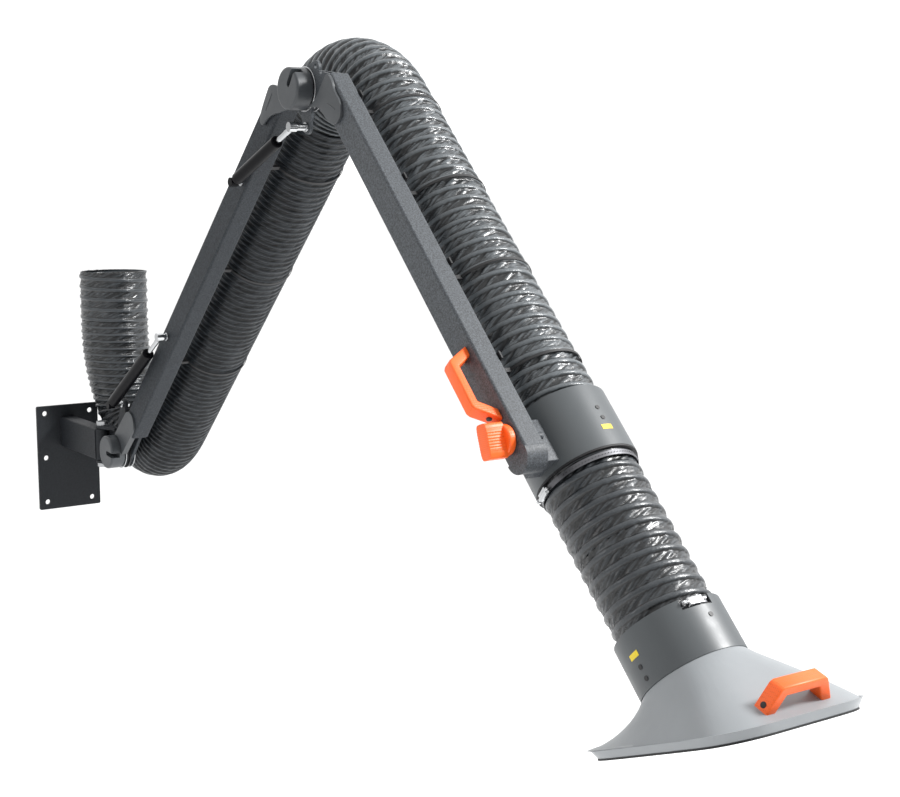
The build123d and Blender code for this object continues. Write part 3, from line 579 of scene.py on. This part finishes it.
def hose_piece(route, turns, sag, crease, finish, node, bodies, counted):
    path = path_object(route, routes[route])
    length = path.data.splines[0].calc_length()
    piece = hose_tree.grow(route + "_hose_cloth", path, finish,
                           TurnsPerMetre=float(turns), StartTurns=counted % 1.0, Sag=sag,
                           Crease=crease, Step=HOSE_STEP, Sides=HOSE_SIDES, Seed=counted)
    if route == "tail":
        wall = piece.modifiers.new("wall", "SOLIDIFY")
        wall.thickness, wall.offset = TAIL_WALL, -1
        bake(piece)
    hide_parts(node)
    if len(bodies) == 1:
        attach(piece, bodies[0])
    else:
        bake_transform(piece)
    return counted + length * turns


turns_so_far = 0.0
for plan in HOSE_PLAN:
    turns_so_far = hose_piece(*plan, turns_so_far)
print("wire turns from duct to hood", round(turns_so_far, 1))

# %% [markdown]
# ## Softened edges
# Nothing real has a perfectly sharp edge: paint is thicker there and mouldings are
# radiused. The CAD solids keep their shape, but a copy of each gets its loose triangles
# merged, its flat faces joined and a small bevel that catches the light.

# %% Softened copies
EDGE = 0.0008                                  # an ordinary edge; WIDTHS has the others


def softened(node, body, finish, width=EDGE):
    mesh = frame["nodes"][node].data.copy()
    piece = bpy.data.objects.new(node + "_skin", mesh)
    bpy.context.scene.collection.objects.link(piece)
    bm = bmesh.new()
    bm.from_mesh(mesh)
    bmesh.ops.remove_doubles(bm, verts=bm.verts, dist=0.00001)
    bmesh.ops.dissolve_limit(bm, angle_limit=math.radians(1.0), verts=bm.verts, edges=bm.edges)
    bm.to_mesh(mesh)
    bm.free()
    mesh.materials.clear()
    mesh.materials.append(finish)
    edge = piece.modifiers.new("edge", "BEVEL")
    edge.width, edge.segments, edge.limit_method = width, 2, "ANGLE"
    edge.angle_limit, edge.use_clamp_overlap = math.radians(38), True
    mesh.shade_smooth()
    mesh.set_sharp_from_angle(angle=math.radians(75))
    piece.modifiers.new("even", "WEIGHTED_NORMAL").keep_sharp = True
    bake(piece)
    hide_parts(node)
    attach(piece, body)
    return piece


print("softening ready")

# %% [markdown]
# ## Which parts are softened
# The beams, brackets, pivots, collars and the hood get a softened copy. Screws, studs
# and hangers keep their CAD mesh, where a bevel would be too small to see. The list is
# ordered by body and then by finish, because each copy rides on a body and takes the
# finish it is listed with.

# %% Softened parts
HARD_PARTS = {
    "wall_console": {"powder_coat": (coat_dark, ("wall_plate", "console_tube"))},
    "slew_head": {"powder_coat": (coat_dark, ("slew_fork",)),
                  "zinc_steel": (zinc, ("shoulder_washers", "slew_bolt", "shoulder_axle"))},
    "lower_arm": {"powder_coat": (coat_painted_shade, ("lower_beam", "shoulder_knuckle", "elbow_yoke")),
                  "cover_plastic": (cover, ("shoulder_cover",)),
                  "zinc_steel": (zinc, ("elbow_washers", "elbow_axle"))},
    "upper_arm": {"powder_coat": (coat, ("upper_beam", "elbow_knuckle", "lever_plate",
                                         "beam_nose"))},
    "collar": {"collar_plastic": (collar_grey, ("upper_collar",))},
    "lower_gas_cylinder": {"black_paint": (black_paint, ("lower_spring_cylinder",))},
    "upper_gas_cylinder": {"black_paint": (black_paint, ("upper_spring_cylinder",))},
    "hood_neck": {"collar_plastic": (collar_grey, ("hood_collar",))},
    "hood": {"hood_plastic": (hood_grey, ("hood_funnel",))},
}
WIDTHS = {"lower_beam": 0.0012, "upper_beam": 0.0012, "shoulder_cover": 0.0022,
          "beam_nose": 0.0014}
for body, groups in HARD_PARTS.items():
    for slot_name, (finish, names) in groups.items():
        for name in names:
            softened(name, body, finish, WIDTHS.get(name, EDGE))
print("softened parts", sum(len(n) for g in HARD_PARTS.values() for _, n in g.values()))

# %% [markdown]
# ## Slabs and rods
# Handles, knob, caps and covers are all mouldings with one flat outline and soft edges.
# Sculpting them or rounding a subdivided box would lose the crisp outline, so each is
# drawn as an outline, pushed out to its width and rounded by a bevel. A rod is the same
# thing with a circle for its outline. Placing a slab can mirror it, so its normals are
# worked out after it has been placed.

# %% Slabs and rods
def link(name, mesh, *finishes):
    piece = bpy.data.objects.new(name, mesh)
    bpy.context.scene.collection.objects.link(piece)
    for finish in finishes:
        mesh.materials.append(finish)
    return piece


def slab(name, outline, low, high, place, finish, edge):
    """An outline in x and y, filled and pushed from z low to z high, with rounded edges."""
    bm = bmesh.new()
    face = bm.faces.new([bm.verts.new((x, y, low)) for x, y in outline])
    pushed = bmesh.ops.extrude_face_region(bm, geom=[face])
    top = [v for v in pushed["geom"] if isinstance(v, bmesh.types.BMVert)]
    bmesh.ops.translate(bm, verts=top, vec=(0, 0, high - low))
    bmesh.ops.transform(bm, matrix=place, verts=bm.verts)
    bmesh.ops.recalc_face_normals(bm, faces=bm.faces)
    mesh = bpy.data.meshes.new(name)
    bm.to_mesh(mesh)
    bm.free()
    piece = link(name, mesh, finish)
    rim = piece.modifiers.new("rim", "BEVEL")
    rim.width, rim.segments, rim.limit_method = edge, 4, "ANGLE"
    rim.angle_limit = math.radians(40)
    piece.modifiers.new("triangles", "TRIANGULATE").min_vertices = 5
    bake(piece)
    piece.data.shade_smooth()
    return piece


def rod(name, start, end, radius, finish, sides=32):
    """A closed round bar between two points, with a small chamfer at both ends."""
    axis = end - start
    place = Matrix.Translation(start) @ axis.to_track_quat("Z", "Y").to_matrix().to_4x4()
    turns = [2 * math.pi * k / sides for k in range(sides)]
    circle = [(radius * math.cos(a), radius * math.sin(a)) for a in turns]
    return slab(name, circle, 0, axis.length, place, finish, radius * 0.12)


print("slab and rod ready")

# %% [markdown]
# ## Joining and fitting
# A handle and its bolts move as one, and so do a clamp's band, housing and screw. They
# are joined in one mesh whose faces remember which finish they had. Fitting a piece
# then puts it on its body and hides the CAD node it stands for.

# %% Joining and fitting
def joined(name, parts):
    """One object from several, with their materials kept apart."""
    bm, finishes = bmesh.new(), []
    for part in parts:
        finish = next(m for m in part.data.materials if m)
        if finish not in finishes:
            finishes.append(finish)
        before = len(bm.faces)
        bm.from_mesh(part.data)
        bm.faces.ensure_lookup_table()
        for face in bm.faces[before:]:
            face.material_index = finishes.index(finish)
        bpy.data.objects.remove(part)
    mesh = bpy.data.meshes.new(name)
    bm.to_mesh(mesh)
    bm.free()
    piece = link(name, mesh, *finishes)
    mesh.shade_smooth()
    mesh.set_sharp_from_angle(angle=math.radians(40))
    return piece


def fitted(piece, body, node):
    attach(piece, body)
    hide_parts(node)


print("joining and fitting ready")

# %% [markdown]
# ## Bow handles
# A bow handle is an open trapezoid bar moulded in orange plastic, with a bolt in each
# foot. Only half of its outline is written down and the other half is its mirror image,
# so both feet are sure to be alike. The hood's handle lies on the funnel's slope, and
# its place is found from the two ends of that slope.

# %% Bow handles
def bow_outline(span, height, thick):
    """Half a bow, mirrored: outer slope and bar, then back along the inside."""
    half, splay = span / 2, 0.18 * span
    outer = [(half, 0), (half - splay * 0.92, -height * 0.92), (half - splay * 1.15, -height)]
    inner = [(half - splay - 0.8 * thick, thick - height), (half - 1.3 * thick, 0)]
    left = [(-x, y) for x, y in outer]
    return left + outer[::-1] + inner[::-1] + [(-x, y) for x, y in inner]


def bow_handle(name, place, span, height, width, thick):
    parts = [slab(name, bow_outline(span, height, thick), -width / 2, width / 2, place,
                  orange, 0.0028)]
    for side in (-1, 1):
        foot = Vector((side * (span / 2 - 0.0105), -height * 0.36, 0))
        out = Vector((side * 0.94, -0.34, 0)) * 0.004
        ends = [place @ (foot + out * k) for k in (-1.0, 0.55)]
        parts.append(rod(name + "_bolt", *ends, 0.0048, black_plastic))
    return joined(name, parts)


arm_grip = bow_handle("arm_grip", UPPER @ Matrix.Translation((0.745, 0.001, 0.069)),
                      span=0.146, height=0.045, width=0.024, thick=0.015)
fitted(arm_grip, "upper_arm", "arm_handle")

FUNNEL_START, FUNNEL_RADIUS = 1.272, 0.090     # where the funnel leaves its collar
MOUTH_AT, MOUTH_TILT, MOUTH_HALF, LIP = 1.369, math.radians(22.8), 0.179, 0.016
DOWN_SLOPE, SINK = 0.138, 0.014                # the handle's middle, and how deep it sits
mouth = DUCT @ Matrix.Translation((MOUTH_AT, 0, 0)) @ Matrix.Rotation(MOUTH_TILT, 4, "Y")
slope_top = DUCT @ Vector((FUNNEL_START, 0, FUNNEL_RADIUS))
fall = mouth @ Vector((-LIP, 0, MOUTH_HALF)) - slope_top
foot_at = Matrix.Translation(slope_top + fall.normalized() * DOWN_SLOPE)
tilt = Matrix.Rotation(math.atan2(-fall.z, fall.x), 4, "Y")
across = Matrix(((0, 0, -1, 0), (1, 0, 0, 0), (0, -1, 0, -SINK), (0, 0, 0, 1)))
hood_grip = bow_handle("hood_grip", foot_at @ tilt @ across,
                       span=0.140, height=0.050, width=0.026, thick=0.015)
fitted(hood_grip, "hood", "hood_handle")
print("handle faces", [len(p.data.polygons) for p in (arm_grip, hood_grip)])

# %% [markdown]
# ## The wing knob
# The knob clamps the collar's tilt, and its raised bar is shaped for a thumb and finger.
# A superellipse gives the bar its squared-off ends, and a small cosine wave along its
# sides makes the flutes. A round skirt under it covers the bolt.

# %% Wing knob
WING_LONG, WING_WIDE, WING_POWER, WING_STEPS = 0.0285, 0.0125, 5, 96
FLUTE_DEPTH, FLUTE_PITCH = 0.0009, 0.009
knob_at = (UPPER @ Matrix.Translation((0.848, 0, 0.066))
           @ Matrix.Rotation(math.radians(25), 4, "Y")
           @ Matrix.Rotation(math.radians(90), 4, "X"))
wing = []
for k in range(WING_STEPS):
    a = 2 * math.pi * k / WING_STEPS
    c, s = math.cos(a), math.sin(a)
    powers = abs(c / WING_LONG) ** WING_POWER + abs(s / WING_WIDE) ** WING_POWER
    reach = powers ** (-1 / WING_POWER)
    wave = math.cos(2 * math.pi * reach * c / FLUTE_PITCH)
    flute = FLUTE_DEPTH * wave if abs(c) < 0.97 else 0
    wing.append((reach * c, reach * s + math.copysign(flute, s)))
skirt_ends = [knob_at @ Vector((0, 0, z)) for z in (-0.0005, 0.013)]
knob = joined("wing_knob", [slab("wing", wing, 0.010, 0.045, knob_at, orange, 0.0016),
                            rod("skirt", *skirt_ends, 0.025, orange, 64)])
fitted(knob, "knob", "friction_knob")
print("knob faces", len(knob.data.polygons))

# %% [markdown]
# ## Hub caps
# Both pivots end in a thick round cap with one deep slot, which runs in from the rim and
# stops near the middle. A cap is a rod, and the slot is cut from it with a Boolean. The
# edges are rounded after the cut, because a bevel can't reach an edge that isn't there.

# %% Hub caps
CAP_FRONT, CAP_BACK, CAP_RADIUS = -0.026, 0.010, 0.039


def slotted_cap(name, pivot, slot_angle, body, node):
    ends = [Vector((pivot.x, y, pivot.z)) for y in (CAP_FRONT, CAP_BACK)]
    cap = rod(name, *ends, CAP_RADIUS, cover, 96)
    turn = Matrix.Translation(pivot) @ Matrix.Rotation(-math.radians(slot_angle), 4, "Y")
    trench = [(0.009, -0.0055), (0.045, -0.0055), (0.045, 0.0055), (0.009, 0.0055),
              (0.0055, 0.0035), (0.0045, 0.0), (0.0055, -0.0035)]
    lay = turn @ Matrix(((1, 0, 0, 0), (0, 0, 1, 0), (0, 1, 0, 0), (0, 0, 0, 1)))
    cutter = slab("trench", trench, -0.030, -0.006, lay, cover, 0.0002)
    cut = cap.modifiers.new("cut", "BOOLEAN")
    cut.object, cut.operation = cutter, "DIFFERENCE"
    rim = cap.modifiers.new("rim", "BEVEL")
    rim.width, rim.segments, rim.limit_method = 0.0007, 2, "ANGLE"
    rim.angle_limit = math.radians(50)
    cap.modifiers.new("even", "WEIGHTED_NORMAL").weight = 100
    bake(cap)
    bpy.data.objects.remove(cutter)
    fitted(cap, body, node)


slotted_cap("shoulder_cap", joint_at["shoulder"], -6, "slew_head", "shoulder_hub_cap")
slotted_cap("elbow_cap", joint_at["elbow"], 55, "lower_arm", "elbow_hub_cap")
print("caps cut", joint_at["shoulder"][:], joint_at["elbow"][:])

# %% [markdown]
# ## Elbow covers
# Two thin plastic lobes hide the ends of the beams at the elbow. Each is drawn roughly
# with about a dozen corners, and corner cutting turns that into a flowing outline. It is
# the idea of a subdivision surface on a flat ring. A thin rod along each makes the
# moulded seam.

# %% Elbow covers
LOBE_FRONT, LOBE_BACK = -0.0050, 0.0009


def smooth_ring(points, rounds=3):
    """Corner cutting: each round replaces every corner by two points nearer its edges."""
    for _ in range(rounds):
        points = [(p[0] * a + q[0] * (1 - a), p[1] * a + q[1] * (1 - a))
                  for p, q in zip(points, points[1:] + points[:1]) for a in (0.75, 0.25)]
    return points


def lobe_cover(name, arm, outline, groove, body, node):
    """A thin moulded lobe on the beam's side, in the arm's x and z."""
    lay = arm @ Matrix(((1, 0, 0, 0), (0, 0, 1, 0), (0, 1, 0, 0), (0, 0, 0, 1)))
    plate = slab(name, smooth_ring(outline), LOBE_FRONT, LOBE_BACK, lay, cover, 0.0016)
    ends = [lay @ Vector((*spot, LOBE_FRONT)) for spot in groove]
    seam = rod("groove", *ends, 0.0009, cover, 16)
    fitted(joined(name, [plate, seam]), body, node)


lobe_cover("upper_lobe", UPPER, [(0.062, 0.030), (0.060, 0.064), (0.058, 0.094), (0.078, 0.096),
                                 (0.098, 0.088), (0.128, 0.090), (0.148, 0.074), (0.144, 0.048),
                                 (0.116, 0.034), (0.084, 0.034), (0.062, 0.014), (0.052, 0.004)],
           ((0.100, 0.058), (0.124, 0.068)), "upper_arm", "upper_elbow_cover")
ELBOW_LOW = LOWER.inverted() @ joint_at["elbow"]
far, level = ELBOW_LOW.x, ELBOW_LOW.z
lobe_cover("lower_lobe", LOWER, [(far - 0.036, level + 0.030), (far - 0.060, 0.022),
                                 (far - 0.094, 0.018), (far - 0.142, 0.008), (far - 0.146, -0.012),
                                 (far - 0.112, -0.018), (far - 0.086, -0.036),
                                 (far - 0.058, level + 0.006), (far - 0.046, level - 0.008),
                                 (far - 0.040, level + 0.012)],
           ((far - 0.072, 0.002), (far - 0.112, -0.002)), "lower_arm", "lower_elbow_cover")
print("elbow in the lower arm's frame", round(far, 4), round(level, 4))

# %% [markdown]
# ## Collar saddle
# Where the beam ends, a small block rests against the round collar and carries its
# pivot bolt. It is a slab whose outline leans out to follow the collar's side.

# %% Collar saddle
saddle = [(0.0418, 0.014), (0.0418, 0.060), (0.0835, 0.060), (0.0748, 0.040), (0.0712, 0.014)]
side_on = UPPER @ Matrix(((0, 0, 1, 0), (1, 0, 0, 0), (0, 1, 0, 0), (0, 0, 0, 1)))
pad = slab("collar_saddle", saddle, 0.812, 0.892, side_on, coat, 0.0016)
fitted(pad, "collar", "collar_bracket")
print("saddle done", len(pad.data.polygons))

# %% [markdown]
# ## Hose clamps
# A worm-drive clamp is a thin steel band with a row of slots pressed in it, a folded
# housing and a screw. Geometry Nodes sweeps the band round the hose and repeats one
# small pressed slot along part of it.

# %% Clamp tree
clamp_tree = Tree("clamp_band", Radius=("Float", 0.0845), Width=("Float", 0.009),
                  Slots=("Int", 36), SlotSize=("Vector", (0.0012, 0.0055, 0.0007)),
                  Material=("Material", None))


def build_clamp_tree(t):
    circle = t.node("GeometryNodeCurvePrimitiveCircle", {"Resolution": 160,
                                                         "Radius": t["Radius"]})
    section = t.node("GeometryNodeCurvePrimitiveQuadrilateral", {"Width": 0.0011,
                                                                 "Height": t["Width"]})
    band = t.node("GeometryNodeCurveToMesh", {"Curve": circle.outputs[0],
                                              "Profile Curve": section.outputs[0]})
    arc = t.node("GeometryNodeTrimCurve", {"Curve": circle.outputs[0]}, mode="FACTOR")
    arc.inputs["Start"].default_value, arc.inputs["End"].default_value = 0.02, 0.40
    places = t.node("GeometryNodeCurveToPoints", {"Curve": arc.outputs[0], "Count": t["Slots"]})
    pip = t.node("GeometryNodeMeshCube", {"Size": t["SlotSize"]})
    turned = t.node("FunctionNodeAlignRotationToVector",
                    {"Vector": places.outputs["Tangent"]}, axis="X")
    row = t.node("GeometryNodeInstanceOnPoints", {
        "Points": places.outputs["Points"], "Instance": pip.outputs["Mesh"],
        "Rotation": turned.outputs[0]})
    both = t.node("GeometryNodeJoinGeometry")
    t.feed(both.inputs[0], band.outputs[0])
    t.feed(both.inputs[0], row.outputs[0])
    t.finish(both.outputs[0], t["Material"])


build_clamp_tree(clamp_tree)
print("clamp tree nodes", len(clamp_tree.group.nodes))

# %% [markdown]
# ## The two clamps
# One clamp holds the neck hose on the beam's collar and one holds it on the hood's. The
# band is grown round a circle at the origin, so it is turned and moved on the duct's
# centre line before the housing and its screw are added.

# %% Clamps
CLAMP_TOP = (0.0845, 0.0905)           # the housing's foot and top, from the centre line
SCREW_AXIS = 0.088
SCREW_PARTS = ((-0.026, 0.019, 0.0029, 24), (-0.0245, -0.0195, 0.0044, 6))  # rod, head


def clamp(name, x, turn, body, node):
    place = (DUCT @ Matrix.Translation((x, 0, 0)) @ Matrix.Rotation(math.radians(turn), 4, "X"))
    on_axis = place @ Matrix.Rotation(math.radians(90), 4, "Y")
    band = clamp_tree.grow(name + "_band", bpy.data.objects.new(
        name, bpy.data.curves.new(name, "CURVE")), band_steel_painted_shade)
    band.data.transform(on_axis)
    half, (low, high) = 0.0065, CLAMP_TOP
    shell = [(-0.015, low), (0.015, low), (0.013, high), (-0.013, high)]
    side = place @ Matrix(((0, 0, 1, 0), (1, 0, 0, 0), (0, 1, 0, 0), (0, 0, 0, 1)))
    parts = [band, slab("housing", shell, -half, half, side, stainless, 0.0012)]
    for start, end, radius, sides in SCREW_PARTS:
        ends = [place @ Vector((0, y, SCREW_AXIS)) for y in (start, end)]
        parts.append(rod("worm", *ends, radius, stainless, sides))
    fitted(joined(name, parts), body, node)


clamp("collar_band_clamp", 0.9145, 100, "collar", "collar_clamp")
clamp("hood_band_clamp", 1.280 - 0.0915, 5, "hood_neck", "hood_clamp")
print("clamps fitted")

# %% [markdown]
# ## Small plain labels
# Each collar carries a small yellow patch, bent to the collar. They are left blank.

# %% Labels
def label(name, x, angle, body):
    bm = bmesh.new()
    across, wide, tall, radius, steps = [], 0.021, 0.009, 0.0903, 8
    for k in range(steps + 1):
        a = math.radians(angle) + (k / steps - 0.5) * wide / radius
        for side in (-1, 1):
            spot = Vector((x + side * tall / 2, -radius * math.sin(a), radius * math.cos(a)))
            across.append(bm.verts.new(DUCT @ spot))
    for k in range(steps):
        i = 2 * k
        bm.faces.new([across[i], across[i + 2], across[i + 3], across[i + 1]])
    mesh = bpy.data.meshes.new(name)
    bm.to_mesh(mesh)
    bm.free()
    piece = link(name, mesh, yellow)
    thick = piece.modifiers.new("thick", "SOLIDIFY")
    thick.thickness, thick.offset = 0.0003, 0
    bake(piece)
    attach(piece, body)


label("collar_label", 0.869, -4, "collar")
label("hood_label", 1.218, 89, "hood_neck")
print("labels placed")

# %% [markdown]
# ## Parts that keep their CAD mesh
# The gas springs, studs, hangers and trims are already the right shape, so they only
# get a better finish in their material slot.

# %% Finishes on CAD nodes
KEPT = {
    "chrome_rod": chrome, "black_paint": black_paint, "black_plastic": black_plastic,
    "rubber": rubber, "zinc_steel": zinc, "stainless": stainless, "powder_coat": coat,
    "cover_plastic": cover, "collar_plastic": collar_grey, "hood_plastic": hood_grey,
    "orange_plastic": orange, "hose_fabric": cloth,
}
OWN = {"pivot_bush": coat_dark, "collar_pivot_bolt": coat, "collar_screws": black_plastic,
       "hood_collar_screws": black_plastic}
slot_of = {part["node"]: part["material_slot"] for part in frame["record"]["subparts"]}
for name, node in frame["nodes"].items():
    node.data.materials.clear()
    node.data.materials.append(OWN.get(name, KEPT[slot_of[name]]))
print("finished nodes", len(slot_of))

# %% [markdown]
# ## Floor
# A plain pale floor keeps the eye on the object. It is one round face so wide that its
# edge is far away, and it isn't part of the arm.

# %% Floor
FLOOR_REACH, FLOOR_Z, FLOOR_SIDES = 120.0, -0.95, 64
turns = [2 * math.pi * k / FLOOR_SIDES for k in range(FLOOR_SIDES)]
corners = [(FLOOR_REACH * math.cos(a), FLOOR_REACH * math.sin(a), FLOOR_Z) for a in turns]
floor_mesh = bpy.data.meshes.new("studio_floor")
floor_mesh.from_pydata(corners, [], [range(FLOOR_SIDES)])
floor = bpy.data.objects.new("studio_floor", floor_mesh)
bpy.context.scene.collection.objects.link(floor)
floor_finish = Finish("studio_floor", (0.93, 0.93, 0.93), 0.8)
floor_finish.set_colour(floor_finish.tint(floor_finish.noise(2.0), 0.99, 1.01))
floor_mesh.materials.append(floor_finish.material)
print("floor at", FLOOR_Z)

# %% [markdown]
# ## Surround
# The arm hangs free, so most of its light comes from around it. The surround has an even
# base, and adds brightness towards one side and towards the top. A dot product with each
# direction says how much, and the sums are joined before they reach the background.

# %% Surround
EVEN_LIGHT = 0.24
BRIGHT_SIDES = (((-0.82, 0.57, 0.0), 1.05), ((0.0, 0.0, 1.0), 0.95))   # towards, how much
world = bpy.data.worlds.new("studio")
bpy.context.scene.world = world
world.use_nodes = True
sky = world.node_tree.nodes
join = world.node_tree.links.new
direction = sky.new("ShaderNodeTexCoord").outputs["Generated"]
brightness = None
for toward, amount in BRIGHT_SIDES:
    facing = sky.new("ShaderNodeVectorMath")
    facing.operation = "DOT_PRODUCT"
    facing.inputs[1].default_value = toward
    join(direction, facing.inputs[0])
    share = sky.new("ShaderNodeMapRange")
    share.inputs["To Max"].default_value = amount
    join(facing.outputs["Value"], share.inputs["Value"])
    total = sky.new("ShaderNodeMath")
    total.inputs[1].default_value = EVEN_LIGHT
    join(share.outputs["Result"], total.inputs[0])
    if brightness is not None:
        join(brightness, total.inputs[1])
    brightness = total.outputs[0]
join(brightness, sky["Background"].inputs["Strength"])
sky["Background"].inputs["Color"].default_value = (1, 1, 1, 1)
print("surround sides", len(BRIGHT_SIDES))

# %% [markdown]
# ## Lamps
# Two round area lamps shape the form. The key lamp stands high beyond the hood, and a
# weak, wider one fills the near side. Each is turned towards the arm.

# %% Lamps
def soft_lamp(name, place, aim, size, power):
    lamp = bpy.data.lights.new(name, "AREA")
    lamp.shape, lamp.size, lamp.energy = "DISK", size, power
    holder = bpy.data.objects.new(name, lamp)
    bpy.context.scene.collection.objects.link(holder)
    holder.location = place
    holder.rotation_euler = (Vector(aim) - Vector(place)).to_track_quat("-Z", "Y").to_euler()


soft_lamp("key", (3.6, 2.6, 2.6), (1.5, 0.1, 0.3), 1.0, 250)
soft_lamp("fill", (0.0, -3.5, 1.6), (1.0, 0.1, 0.3), 1.6, 20)
print("lamps", [lamp.name for lamp in bpy.data.lights])

# %% [markdown]
# ## Camera
# The camera looks from beyond the hood and a little above it, level from side to side.
# The Standard view keeps pale plastic pale, where a filmic one would grey it.

# %% Camera
CAMERA_AT = (3.77188, -1.41854, 0.71115)
CAMERA_AZIMUTH, CAMERA_DIP = math.radians(55.4), math.radians(8.22)
lens = bpy.data.cameras.new("camera")
lens.lens, lens.sensor_width = 62.3, 36.0
camera = bpy.data.objects.new("camera", lens)
bpy.context.scene.collection.objects.link(camera)
camera.location = CAMERA_AT
camera.rotation_euler = (math.pi / 2 - CAMERA_DIP, 0, CAMERA_AZIMUTH)
bpy.context.scene.camera = camera
bpy.context.scene.view_settings.view_transform = "Standard"
print("camera at", CAMERA_AT)
